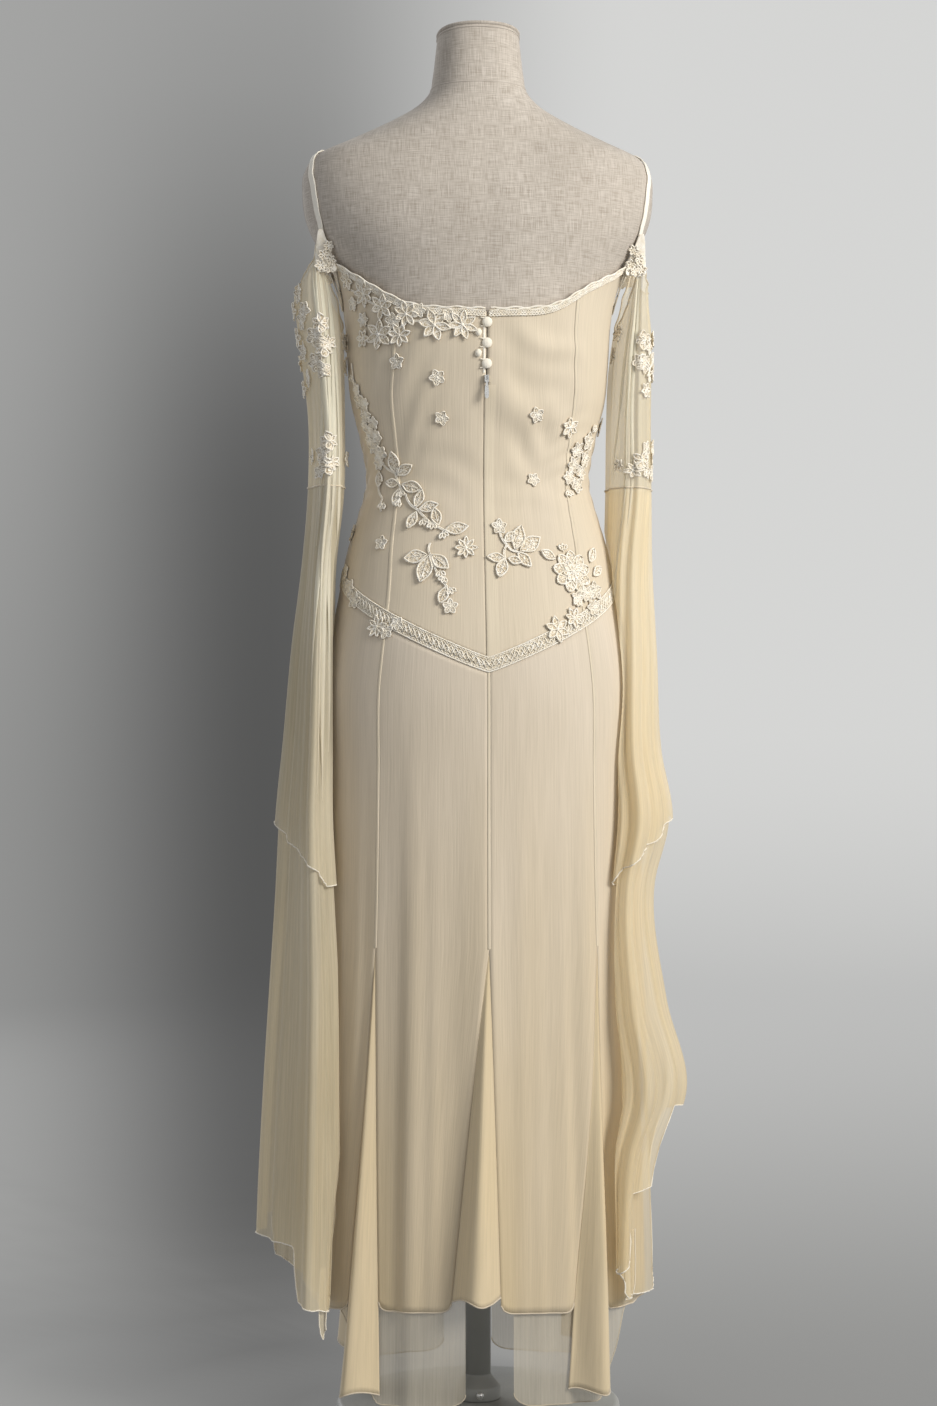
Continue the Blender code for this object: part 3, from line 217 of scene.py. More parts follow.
FLOUNCE_PARTING = 0.090
BODY_CLEARANCE = 4 * MM
SLEEVE_WAVES = ((6, 0.60, 10), (4, 0.40, 100))
SLEEVE_WAVE_DEPTH = 5 * MM
SLEEVE_WAVE_TURN = 25
# lengths below the seam over which a flounce's waves and its gathers grow
SLEEVE_WAVE_FADE = 0.55
GATHER_FADE = 0.30
FLOUNCE_LENGTH = 0.8
SLEEVE_TOP_CURVE = 1.4
# angle round the sleeve from its back edge, height of the hem
SHORT_HEM = ((0, 0.580), (50, 0.603), (95, 0.632), (150, 0.606), (205, 0.640), (270, 0.566), (330, 0.562))
LONG_HEM_LEFT = (
    (0, 0.136),
    (24, 0.142),
    (34, 0.196),
    (90, 0.202),
    (150, 0.210),
    (165, 0.160),
    (210, 0.140),
    (270, 0.144),
    (330, 0.131),
)
LONG_HEM_RIGHT = (
    (0, 0.168),
    (35, 0.180),
    (48, 0.244),
    (66, 0.250),
    (78, 0.330),
    (150, 0.318),
    (172, 0.150),
    (230, 0.134),
    (300, 0.142),
    (325, 0.176),
)
TIP_SPAN = 16
TIP_INSET = 1.9 * MM
TIP_REACH = (44 * MM, 28 * MM)
# side, angle round the sleeve, height of the hem it hangs from
TIPS = (("left", 340, 0.132), ("right", 48, 0.164))

STRAP_WIDTH = 8 * MM
STRAP_THICKNESS = 1.5 * MM
# angle, height, distance from the form, from the back corner to the top of the shoulder
STRAP_PATH = (
    (76.0, 1.2030, 6.9 * MM),
    (75.5, 1.2130, 6.8 * MM),
    (74.0, 1.2220, 4.6 * MM),
    (71.0, 1.2340, 1.5 * MM),
    (68.5, 1.2500, 0.5 * MM),
    (68.0, 1.2700, 0.4 * MM),
    (69.5, 1.2900, 0.4 * MM),
    (73.0, 1.3080, 0.4 * MM),
    (78.5, 1.3210, 0.4 * MM),
    (84.5, 1.3280, 0.4 * MM),
    (90.0, 1.3300, 0.4 * MM),
)

BUTTON_HEIGHTS = (1.140, 1.119, 1.098)
BUTTON_RADIUS = 5.3 * MM
ZIP_SLIDER_HEIGHT = 1.0825


def smooth_table(rows, height):
    """The other columns of a table at heights between its rows, on a smooth curve through them."""
    table = np.array(rows, float)
    heights, values = table[:, 0], table[:, 1:]
    slopes = np.gradient(values, heights, axis=0)
    h = np.clip(height, heights[0], heights[-1])
    i = np.clip(np.searchsorted(heights, h) - 1, 0, len(heights) - 2)
    span = (heights[i + 1] - heights[i])[..., None]
    s = (h - heights[i])[..., None] / span
    found = (
        (2 * s**3 - 3 * s**2 + 1) * values[i]
        + (s**3 - 2 * s**2 + s) * span * slopes[i]
        + (3 * s**2 - 2 * s**3) * values[i + 1]
        + (s**3 - s**2) * span * slopes[i + 1]
    )
    return np.moveaxis(found, -1, 0)


def round_curve(rows, angle, period=None):
    """A height read from a table of angle and height, joined by smooth steps."""
    angle = np.asarray(angle, float)
    table = list(rows)
    if period:
        angle = angle % period
        table = table + [(table[0][0] + period, table[0][1])]
    stops = np.array(table, float)
    i = np.clip(np.searchsorted(stops[:, 0], angle) - 1, 0, len(stops) - 2)
    s = np.clip((angle - stops[i, 0]) / (stops[i + 1, 0] - stops[i, 0]), 0, 1)
    return stops[i, 1] + (stops[i + 1, 1] - stops[i, 1]) * (s * s * (3 - 2 * s) * 0.5 + s * 0.5)


def angle_between(a, b):
    return (a - b + 180) % 360 - 180


def between(value, low, high):
    """0 at low, 1 at high, smooth in between."""
    s = np.clip((value - low) / (high - low), 0, 1)
    return s * s * (3 - 2 * s)


def section(half_width, back, front, angle):
    turn = np.radians(angle)
    side, depth = np.sin(turn), np.cos(turn)
    reach = np.where(depth > 0, back, front)
    power = 2 / SECTION_POWER
    x = np.sign(side) * np.abs(side) ** power * half_width
    y = np.sign(depth) * np.abs(depth) ** power * reach
    return x, y


def bust(angle, height):
    rise = 0.0
    for side in (-1, 1):
        across = (angle % 360 - 180 - side * BUST_ANGLE) / BUST_SPREAD[0]
        up = (height - BUST_HEIGHT) / BUST_SPREAD[1]
        rise = rise + np.exp(-0.5 * (across * across + up * up))
    return BUST_RISE * rise


def stacked(x, y, z):
    return np.stack(np.broadcast_arrays(x, y, z), axis=-1)


def form_base(angle, height):
    half_width, back, front = smooth_table(FORM_RINGS, height)
    swell = bust(angle, height)
    x, y = section(half_width, back + swell, front + swell, angle)
    return stacked(x, y, height)


def ease(height):
    return float(np.interp(height, [row[0] for row in EASE], [row[1] for row in EASE]))


DRESS_RINGS = SKIRT_RINGS + tuple(
    (row[0], *(side + ease(row[0]) for side in row[1:])) for row in FORM_RINGS if row[0] >= HIP_HEIGHT
)


# degrees that each godet's hem swings to the wearer's left of its seam
GODET_SWING = {"godet_back": 4.0, "godet_back_left": 3.5, "godet_back_right": 8.0}


def godet_middle(godet, height):
    """The angle of a godet's middle line at a height."""
    share = np.clip((GODET_TOP - height) / (GODET_TOP - godet[4]), 0, 1.1)
    return godet[1] + GODET_SWING.get(godet[0], 0.0) * share


def godet_spread(godet, height):
    """Half the angle that a godet fills at a height, and the depth of its fold."""
    _, _, spread, depth, hem = godet
    share = np.maximum(0.0, (GODET_TOP - height) / (GODET_TOP - hem))
    return spread * share, depth * np.minimum(share, 1.1) ** 1.3


def skirt_relief(angle, height, with_godets):
    """The soft waves of the skirt and the deep folds of its godets."""
    fall = np.clip((SKIRT_WAVE_TOP - height) / SKIRT_WAVE_FADE, 0, 1)
    out = 0.0
    for count, share, phase in SKIRT_WAVES:
        out = out + SKIRT_WAVE_DEPTH * share * fall * np.sin(np.radians(count * angle + phase))
    if with_godets:
        for godet in GODETS:
            spread, depth = godet_spread(godet, height)
            near = np.abs(angle_between(angle, godet_middle(godet, height))) / np.maximum(spread, 1e-6)
            fold = depth * np.cos(0.5 * np.pi * np.minimum(near, 1)) ** 1.6
            out = out + np.where(near < 1, fold, 0)
    return out


# Soft creases that only the looks have. direction in degrees from level, spacing and depth in mm, and the
# place they fade from: angle, height, half width in degrees and half height in metres
CREASES = (
    (-40, 62, 2.6, -17, 1.058, 12, 0.050),
    (-22, 34, 1.3, -26, 1.108, 13, 0.020),
    (-44, 40, 1.5, -24, 1.018, 12, 0.026),
    (-16, 30, 0.6, -18, 0.960, 12, 0.020),
    (16, 19, 0.8, -48, 1.000, 12, 0.040),
    (-24, 33, 0.6, 16, 0.990, 10, 0.030),
    (62, 30, 0.9, 40, 1.085, 12, 0.050),
    (-14, 17, 0.8, 205, 0.985, 20, 0.028),
    (35, 24, 1.0, 150, 1.040, 18, 0.050),
    (-35, 22, 1.0, 212, 1.030, 18, 0.050),
    (20, 18, 0.8, 90, 0.990, 18, 0.030),
    (-18, 19, 0.8, 270, 0.995, 18, 0.030),
)
# waves round the body, depth in mm at the hem, phase, turn in degrees over the skirt's length
SKIRT_CREASES = (
    (7, 1.3, 60, 35),
    (13, 1.5, 140, -45),
    (19, 1.4, 10, 50),
    (29, 1.1, 40, 30),
    (43, 0.5, 110, -40),
    (67, 0.2, 15, 25),
)
SKIRT_TOP = 0.8
SKIRT_LENGTH = 0.7
WAIST_SCALE = 2.1  # mm for each degree round the waist


def fine_relief(angle, height):
    """Small creases across the bodice and down the skirt."""
    out = 0.0
    for direction, spacing, depth, middle, level, wide, tall in CREASES:
        across = angle_between(angle, middle)
        up = height - level
        turn = math.radians(direction)
        run = (across * WAIST_SCALE * MM * math.sin(turn) + up * math.cos(turn)) / (spacing * MM)
        # no crease is quite straight
        run = run + 0.20 * np.sin(np.radians(8 * across + 1100 * up + 40 * middle))
        fade = np.exp(-0.5 * ((across / wide) ** 2 + (up / tall) ** 2))
        out = out + depth * MM * fade * np.sin(2 * np.pi * run + middle)
    # deeper towards the hem, and at the back and the front
    fall = between(-height, -SKIRT_TOP, -0.25) * (0.3 + 0.7 * np.abs(np.cos(np.radians(angle))) ** 0.7)
    for count, depth, phase, turn in SKIRT_CREASES:
        run = count * angle + phase + turn * (SKIRT_TOP - height) / SKIRT_LENGTH
        out = out + depth * MM * fall * np.sin(np.radians(run))
    return out


def dress_base(angle, height, with_godets=True):
    half_width, back, front = smooth_table(DRESS_RINGS, height)
    swell = bust(angle, height)
    out = skirt_relief(angle, height, with_godets) + fine_relief(angle, height)
    x, y = section(half_width + out, back + swell + out, front + swell + out, angle)
    return stacked(x, y, height)


def plain_base(angle, height):
    return dress_base(angle, height, with_godets=False)


def moved_out(surface, angle, height, out, facing=1):
    """A surface's points, moved along its outward normal."""
    angle, height, out = np.broadcast_arrays(angle, height, out)
    here = surface(angle, height)
    if not np.any(out):
        return here
    along = surface(angle + 0.5, height) - surface(angle - 0.5, height)
    up = surface(angle, height + 1.5 * MM) - surface(angle, height - 1.5 * MM)
    normal = np.cross(up, along) * facing
    normal /= np.linalg.norm(normal, axis=-1, keepdims=True)
    return here + normal * out[..., None]


def dress(angle, height, out=0.0):
    """Points of the dress's outer face, with its godets."""
    return moved_out(dress_base, angle, height, out)


def plain_dress(angle, height, out=0.0):
    return moved_out(plain_base, angle, height, out)


def form_point(angle, height, out=0.0):
    return moved_out(form_base, angle, height, out)


def neck_edge(angle):
    raised = NECK_RISE * np.exp(-((angle_between(angle, NECK_RISE_ANGLE) / NECK_RISE_SPREAD) ** 2))
    return smooth_table(NECK_EDGE, np.abs(angle_between(angle, 0)))[0] + raised


def band_middle(angle):
    """Height of the hip band's middle line: a soft V at the centre back and front."""
    from_point = np.minimum(np.abs(angle_between(angle, 0)), np.abs(angle_between(angle, 180))) / 90
    return BAND_POINT + BAND_RISE * ((1 + BAND_CURVE) * from_point - BAND_CURVE * from_point**2)


# waves round a sleeve that only the looks have: count, depth in mm, phase, turn over its length
SLEEVE_CREASES = (
    (5, 2.4, 10, 40),
    (9, 2.6, 60, -30),
    (14, 2.0, 30, -40),
    (23, 0.9, 120, 50),
    (31, 0.4, 70, 20),
)
# degrees round the body over which a sleeve keeps clear of the skirt's highest fold
FOLD_REACH = (-7, -4, -2, 0, 2, 4, 7)


def sleeve_base(side, angle, height, inset):
    """Points of a sleeve's outer face. angle runs from the sleeve's back edge round its outer side."""
    table = LEFT_SLEEVE if side > 0 else RIGHT_SLEEVE
    centre_out, centre_back, half_width, half_depth, lean = smooth_table(table, height)
    if inset > FLOUNCE_SEAM_INSET:
        parted = np.clip((SLEEVE_SEAM - height) / FLOUNCE_PARTING, 0, 1)
        inset = FLOUNCE_SEAM_INSET + (inset - FLOUNCE_SEAM_INSET) * parted
    fall = np.clip((SLEEVE_SEAM - height) / SLEEVE_WAVE_FADE, 0, 1)
    out = 0.0
    for count, share, phase in SLEEVE_WAVES:
        wave = np.sin(np.radians(count * angle + phase + SLEEVE_WAVE_TURN * side))
        out = out + SLEEVE_WAVE_DEPTH * share * fall * wave
    gathered = 0.35 + 0.65 * np.clip((SLEEVE_SEAM - height) / GATHER_FADE, 0, 1)
    for count, depth, phase, turn in SLEEVE_CREASES:
        run = count * angle + phase * side + turn * (SLEEVE_SEAM - height) / FLOUNCE_LENGTH
        out = out + depth * MM * gathered * np.sin(np.radians(run))
    turn = np.radians(angle)
    x = centre_out + (half_width + out - inset) * np.sin(turn) + lean * np.cos(turn)
    y = centre_back + (half_depth + out - inset) * np.cos(turn)
    body_width, body_back, body_front = smooth_table(DRESS_RINGS, height)
    body_depth = np.where(y > 0, body_back, body_front)
    half_power = SECTION_POWER / 2
    across, along = (np.abs(x) / body_width) ** half_power, (np.abs(y) / body_depth) ** half_power
    from_back = np.degrees(np.arctan2(across, np.sign(y) * along))
    relief = np.max([skirt_relief(side * from_back + near, height, True) for near in FOLD_REACH], axis=0)
    clearance = BODY_CLEARANCE + inset + np.maximum(relief, 0)
    inside = (np.abs(x) / (body_width + clearance)) ** SECTION_POWER
    inside = inside + (np.abs(y) / (body_depth + clearance)) ** SECTION_POWER
    grow = np.where(inside < 1, np.maximum(inside, 1e-6) ** (-1 / SECTION_POWER), 1)
    return stacked(side * x * grow, y * grow, height)


def sleeve_surface(side, inset=0.0):
    def surface(angle, height, out=0.0):
        return moved_out(lambda a, h: sleeve_base(side, a, h, inset), angle, height, out, side)

    return surface


def upper_sleeve_top(angle):
    across = np.sin(np.radians(angle))
    drop = np.where(across > 0, *SLEEVE_TOP_DROP)
    return SLEEVE_TOP - drop * np.abs(across) ** SLEEVE_TOP_CURVE


# Meshes

def mesh_object(name, points, faces, uvs, material):
    """A smooth mesh from arrays. uvs are in metres, one for each point."""
    mesh = bpy.data.meshes.new(name)
    mesh.from_pydata(np.asarray(points).reshape(-1, 3).tolist(), [], faces)
    if uvs is not None:
        layer = mesh.uv_layers.new(name="UVMap")
        corners = np.zeros(len(mesh.loops), np.int32)
        mesh.loops.foreach_get("vertex_index", corners)
        layer.data.foreach_set("uv", np.asarray(uvs, np.float32).reshape(-1, 2)[corners].ravel())
    mesh.shade_smooth()
    mesh.materials.append(material)
    made = bpy.data.objects.new(name, mesh)
    bpy.context.scene.collection.objects.link(made)
    return made


def grid_object(name, points, uvs, material, closed=False):
    """A smooth mesh from a grid of points."""
    return mesh_object(name, points, grid_faces(*points.shape[:2], closed=closed).tolist(), uvs, material)


def grid_faces(rows, columns, closed=False):
    """The four-sided faces of a grid of points, columns joined up round a tube if closed."""
    r, c = np.meshgrid(np.arange(rows - 1), np.arange(columns if closed else columns - 1), indexing="ij")
    n = (c + 1) % columns
    corners = (r * columns + c, r * columns + n, (r + 1) * columns + n, (r + 1) * columns + c)
    return np.stack([k.ravel() for k in corners], axis=-1)


def lengths_along(points, axis):
    """How far along the rows or columns of a grid each point is."""
    steps = np.linalg.norm(np.diff(points, axis=axis), axis=-1)
    zero = np.zeros_like(np.take(steps, [0], axis=axis))
    return np.concatenate([zero, np.cumsum(steps, axis=axis)], axis=axis)


def grid_area(points):
    across = points[:-1, 1:] - points[:-1, :-1]
    down = points[1:, :-1] - points[:-1, :-1]
    return float(np.linalg.norm(np.cross(across, down), axis=-1).sum())


def tube_mesh(path, radius, sides=6, closed=False, squash=1.0, normals=None):
    """Points and faces of a tube along a path. squash flattens it along its normals."""
    path = np.asarray(path, float)
    if closed:
        along = np.roll(path, -1, axis=0) - np.roll(path, 1, axis=0)
    else:
        along = np.gradient(path, axis=0)
    along /= np.maximum(np.linalg.norm(along, axis=-1, keepdims=True), 1e-12)
    if normals is None:
        normals = np.tile([0.0, 0.0, 1.0], (len(path), 1))
        steep = np.abs((along * normals).sum(-1)) > 0.9
        normals[steep] = [0.0, 1.0, 0.0]
    across = np.cross(along, normals)
    across /= np.maximum(np.linalg.norm(across, axis=-1, keepdims=True), 1e-12)
    up = np.cross(across, along)
    turn = 2 * np.pi * np.arange(sides) / sides
    radius = np.broadcast_to(np.asarray(radius, float), (len(path),))[:, None, None]
    points = path[:, None] + radius * (
        across[:, None] * np.cos(turn)[None, :, None] + squash * up[:, None] * np.sin(turn)[None, :, None]
    )
    count = len(path)
    a, b = np.meshgrid(np.arange(count if closed else count - 1), np.arange(sides), indexing="ij")
    ring, next_ring, turned = a * sides, (a + 1) % count * sides, (b + 1) % sides
    faces = np.stack([ring + b, ring + turned, next_ring + turned, next_ring + b], -1)
    return points.reshape(-1, 3), faces.reshape(-1, 4)


class Bundle:
    """Several meshes gathered into one piece."""

    def __init__(self):
        self.points, self.faces, self.uvs, self.count = [], [], [], 0

    def add(self, points, faces, uvs=(0.0, 0.0)):
        """uvs are one pair for each point, or one for all of them."""
        points = np.asarray(points, float).reshape(-1, 3)
        self.points.append(points)
        self.uvs.append(np.broadcast_to(np.asarray(uvs, float).reshape(-1, 2), (len(points), 2)))
        self.faces += (np.asarray(faces) + self.count).tolist()
        self.count += len(points)

    def tube(self, path, radius, sides=6, closed=False, squash=1.0, normals=None, uvs=(0.0, 0.0)):
        self.add(*tube_mesh(path, radius, sides, closed, squash, normals), uvs)

    def made(self, name, material):
        return mesh_object(name, np.concatenate(self.points), self.faces, np.concatenate(self.uvs), material)


def join_to(piece, slot, *nodes):
    """The piece rides on the dress's body and stands for its solids. slot is not used."""
    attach(piece, "dress")
    if nodes:
        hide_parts(*nodes)
    return piece


# Materials

class Look:
    """A material whose nodes are added one by one."""

    def __init__(self, name, roughness, sheen=0.0, specular=0.3):
        self.material = bpy.data.materials.new(name)
        self.material.use_nodes = True
        self.tree = self.material.node_tree
        self.shader = self.tree.nodes["Principled BSDF"]
        self.output = self.tree.nodes["Material Output"]
        self.shader.inputs["Roughness"].default_value = roughness
        self.shader.inputs["Sheen Weight"].default_value = sheen
        self.shader.inputs["Sheen Roughness"].default_value = 0.5
        self.shader.inputs["Specular IOR Level"].default_value = specular

    def node(self, kind, links=(), **values):
        made = self.tree.nodes.new(kind)
        for key, value in values.items():
            setattr(made, key, value)
        for socket, source in dict(links).items():
            if hasattr(source, "is_output"):
                self.tree.links.new(source, made.inputs[socket])
            else:
                made.inputs[socket].default_value = source
        return made

    def place(self, scale, source="UV"):
        """The piece's own place, stretched, for a texture."""
        where = self.node("ShaderNodeTexCoord").outputs[source]
        return self.node("ShaderNodeMapping", {"Vector": where, "Scale": scale}).outputs[0]

    def noise(self, scale, detail=3.0, roughness=0.55, distortion=0.0, source="UV"):
        links = {"Vector": self.place(scale, source), "Scale": 1.0, "Detail": detail}
        links.update({"Roughness": roughness, "Distortion": distortion})
        return self.node("ShaderNodeTexNoise", links).outputs["Fac"]

    def span(self, value, low, high, to_low=0.0, to_high=1.0):
        links = {"Value": value, "From Min": low, "From Max": high, "To Min": to_low, "To Max": to_high}
        return self.node("ShaderNodeMapRange", links).outputs[0]

    def maths(self, operation, a, b):
        return self.node("ShaderNodeMath", {0: a, 1: b}, operation=operation).outputs[0]

    def mixed(self, share, a, b, blend="MIX"):
        made = self.node("ShaderNodeMix", data_type="RGBA", blend_type=blend)
        for socket, value in ((0, share), (6, a), (7, b)):
            if hasattr(value, "is_output"):
                self.tree.links.new(value, made.inputs[socket])
            elif socket == 0:
                made.inputs[socket].default_value = value
            else:
                made.inputs[socket].default_value = (*value, 1)
        return made.outputs[2]

    def bump(self, height, distance, strength=1.0):
        links = {"Height": height, "Distance": distance, "Strength": strength}
        normal = self.node("ShaderNodeBump", links).outputs[0]
        self.tree.links.new(normal, self.shader.inputs["Normal"])
        return normal

    def colour(self, source):
        self.tree.links.new(source, self.shader.inputs["Base Color"])

    def glow(self, share, source, normal=None):
        """Light passes through the cloth as well as falling on it."""
        through = self.node("ShaderNodeBsdfTranslucent")
        self.tree.links.new(source, through.inputs["Color"])
        if normal is not None:
            self.tree.links.new(normal, through.inputs["Normal"])
        mix = self.node("ShaderNodeMixShader", {0: share})
        self.tree.links.new(self.shader.outputs[0], mix.inputs[1])
        self.tree.links.new(through.outputs[0], mix.inputs[2])
        self.tree.links.new(mix.outputs[0], self.output.inputs["Surface"])
        return mix.outputs[0]

    def see_through(self, surface, solid):
        """The rest of the light passes straight between the threads."""
        clear = self.node("ShaderNodeBsdfTransparent")
        mix = self.node("ShaderNodeMixShader", {0: solid})
        self.tree.links.new(clear.outputs[0], mix.inputs[1])
        self.tree.links.new(surface, mix.inputs[2])
        self.tree.links.new(mix.outputs[0], self.output.inputs["Surface"])


CREAM = (0.680, 0.585, 0.445)
CREAM_LIGHT = (0.800, 0.720, 0.570)
YELLOW = (0.730, 0.590, 0.370)
BEIGE = (0.650, 0.560, 0.440)
PINKISH = (0.700, 0.610, 0.500)
SHEER_LIGHT = (0.920, 0.845, 0.680)
SHEER_DEEP = (0.840, 0.740, 0.530)
# colours towards the hem: the deeper colour of layered cloth together with painted shade of the lower dress
HONEY_LOW_SHADE = (0.60, 0.475, 0.285)
SHEER_LOW_SHADE = (0.74, 0.615, 0.39)
SEAM = (0.720, 0.630, 0.485)
IVORY = (1.0, 0.955, 0.87)
IVORY_SHADE = (0.90, 0.82, 0.68)
NET_HOLE_SHADE = (0.54, 0.44, 0.30)
PALE = (0.93, 0.92, 0.81)
LINEN = (0.430, 0.380, 0.322)
LINEN_LIGHT = (0.590, 0.540, 0.482)
LINEN_SHADE = (0.370, 0.325, 0.275)
LINEN_DARK = (0.270, 0.230, 0.190)
# how much darker the cloth is painted between its crepe lines, as painted shade in their grooves, and how
# much thinner it is there
CREPE_SHADE_AND_THINNING = 0.06


def shaded(colour, share):
    """The same colour, darker or paler by a share."""
    return tuple(min(part * share, 1.0) for part in colour)


def chiffon_look(name, light, dark, solid=1.0, glow=0.12, low=None, crinkle=1.0):
    """Crinkled chiffon: fine upright crepe lines, with painted shade between them and painted light on them,
    over a soft, slightly uneven colour. low is the colour it turns to towards the hem, partly the deeper
    colour where more layers of it lie over one another and partly painted shade of the lower dress, deepest
    along bands where folds would be."""
    look = Look(name, 0.72, sheen=0.30, specular=0.25)
    lines = look.noise((600.0, 13.0, 1.0), detail=2.0, distortion=0.3)
    fine = look.noise((1150.0, 60.0, 1.0), detail=1.0)
    patches = look.noise((9.0, 3.0, 9.0), detail=2.0)
    share = look.span(lines, 0.32, 0.68)
    tint = look.mixed(look.span(patches, 0.32, 0.68), light, dark)
    # towards the hem, and most along bands where folds would be, painted shade turns the colour to low
    if low is not None:
        parts = look.node("ShaderNodeSeparateXYZ", {0: look.place((1.0, 1.0, 1.0))})
        folds = look.noise((15.0, 1.2, 1.0), detail=1.0)
        fall = look.span(parts.outputs[1], 0.80, 0.10)
        fall = look.maths("MULTIPLY", fall, look.span(folds, 0.30, 0.66, 0.55, 1.0))
        tint = look.mixed(fall, tint, low)
    # painted shade between the crepe lines and painted light on them
    groove_shade = CREPE_SHADE_AND_THINNING * crinkle
    crepe = look.mixed(share, (1 - groove_shade, 1 - groove_shade, 1 - 1.2 * groove_shade), (1.03, 1.03, 1.025))
    cloth = look.mixed(1.0, tint, crepe, "MULTIPLY")
    look.colour(cloth)
    height = look.maths("ADD", look.maths("MULTIPLY", lines, 0.75), look.maths("MULTIPLY", fine, 0.25))
    normal = look.bump(height, 0.7 * MM, 0.45 * crinkle)
    surface = look.glow(glow, cloth, normal)
    if solid < 1.0:
        uneven = CREPE_SHADE_AND_THINNING * crinkle
        woven = look.span(lines, 0.35, 0.65, solid - uneven, min(solid + uneven, 1.0))
        look.see_through(surface, woven)
    return look.material


# the first map coordinate of net fills, far beyond any length in metres on the dress
NET_FILL_MARK = 9.0


def lace_look(name, light, shade, open_share=0.0, sheen=0.2):
    """Cotton lace: short raised threads of even ivory. A fill of net is darker in its holes, partly for the
    cloth seen beneath and partly as painted shade under the raised lace.
    """
    look = Look(name, 0.85, sheen=sheen, specular=0.2)
    threads = look.noise((1500.0, 1500.0, 1500.0), detail=1.0, source="Object")
    patches = look.noise((160.0, 160.0, 160.0), detail=2.0, source="Object")
    tint = look.mixed(look.span(patches, 0.35, 0.65), shade, light)
    cloth = look.mixed(1.0, tint, look.mixed(threads, (0.90, 0.89, 0.87), (1.05, 1.05, 1.05)), "MULTIPLY")
    net = look.noise((750.0, 750.0, 750.0), detail=0.0, source="Object")
    # the net's holes in painted shade
    shaded_hole = look.mixed(look.span(net, 0.42, 0.56), NET_HOLE_SHADE, cloth)
    parts = look.node("ShaderNodeSeparateXYZ", {0: look.place((1.0, 1.0, 1.0))})
    cloth = look.mixed(look.maths("GREATER_THAN", parts.outputs[0], NET_FILL_MARK - 1), cloth, shaded_hole)
    look.colour(cloth)
    normal = look.bump(look.maths("ADD", threads, patches), 0.5 * MM, 0.6)
    surface = look.glow(0.06, cloth, normal)
    if open_share:
        holes = look.noise((900.0, 900.0, 900.0), detail=0.0, source="Object")
        look.see_through(surface, look.span(holes, 0.40, 0.52, 1.0 - open_share, 1.0))
    return look.material


def linen_look():
    """Plain-woven linen: upright and level threads of uneven thickness, in greige, under broad upright bands
    of painted sheen and painted shade.
    """
    look = Look("linen_weave", 0.92, sheen=0.15, specular=0.15)
    warp = look.noise((1300.0, 60.0, 1.0), detail=2.0)
    weft = look.noise((60.0, 1300.0, 1.0), detail=2.0)
    pale = look.noise((520.0, 30.0, 1.0), detail=2.0)
    dark = look.noise((60.0, 640.0, 1.0), detail=2.0)
    patches = look.noise((14.0, 14.0, 14.0), detail=3.0)
    threads = look.maths("MULTIPLY", look.maths("ADD", warp, weft), 0.5)
    base = look.mixed(look.span(threads, 0.40, 0.60), LINEN_SHADE, LINEN_LIGHT)
    flecked = look.mixed(look.span(dark, 0.60, 0.80, 0.0, 0.40), base, LINEN_DARK)
    upright = look.noise((640.0, 45.0, 1.0), detail=2.0)
    flecked = look.mixed(look.span(upright, 0.58, 0.78, 0.0, 0.40), flecked, LINEN_DARK)
    slubbed = look.mixed(look.span(pale, 0.56, 0.76, 0.0, 0.60), flecked, LINEN_LIGHT)
    cloth = look.mixed(look.span(patches, 0.3, 0.7, 0.0, 0.25), slubbed, LINEN)
    # broad upright bands of painted sheen, with painted shade between them
    sheen_streaks = look.noise((11.0, 3.5, 1.0), detail=2.0)
    shade = look.mixed(look.span(sheen_streaks, 0.3, 0.7), (0.93, 0.92, 0.91), (1.08, 1.07, 1.06))
    look.colour(look.mixed(1.0, cloth, shade, "MULTIPLY"))
    look.bump(look.maths("ADD", threads, look.maths("MULTIPLY", pale, 0.5)), 0.5 * MM, 0.45)
    return look.material


def metal_look():
    look = Look("zip_metal", 0.3, specular=0.5)
    look.shader.inputs["Metallic"].default_value = 0.75
    scratches = look.noise((2500.0, 300.0, 900.0), detail=2.0, source="Object")
    look.colour(look.mixed(scratches, (0.78, 0.77, 0.74), (0.95, 0.95, 0.93)))
    look.tree.links.new(look.span(scratches, 0.3, 0.7, 0.22, 0.42), look.shader.inputs["Roughness"])
    return look.material


def paint_look():
    look = Look("stand_paint", 0.45, specular=0.5)
    grain = look.noise((600.0, 600.0, 600.0), detail=3.0, source="Object")
    patches = look.noise((18.0, 18.0, 18.0), detail=3.0, source="Object")
    look.colour(look.mixed(look.span(patches, 0.3, 0.7), (0.33, 0.33, 0.31), (0.40, 0.40, 0.37)))
    look.tree.links.new(look.span(grain, 0.3, 0.7, 0.38, 0.55), look.shader.inputs["Roughness"])
    look.bump(grain, 0.1 * MM, 0.25)
    return look.material


chiffon = chiffon_look("crinkle_chiffon", PINKISH, BEIGE, glow=0.08, low=HONEY_LOW_SHADE)
godet_chiffon = chiffon_look("godet_chiffon", BEIGE, YELLOW, glow=0.12, low=YELLOW)
bodice_chiffon = chiffon_look("bodice_chiffon", CREAM, BEIGE, glow=0.05)
sheer = chiffon_look("sheer_chiffon", SHEER_LIGHT, SHEER_DEEP, 0.60, 0.30, SHEER_LOW_SHADE, crinkle=0.25)
thin_sheer = chiffon_look("thin_chiffon", CREAM_LIGHT, CREAM, solid=0.50, glow=0.30, crinkle=0.5)
rolled = chiffon_look("rolled_hem", IVORY, CREAM_LIGHT, glow=0.20)
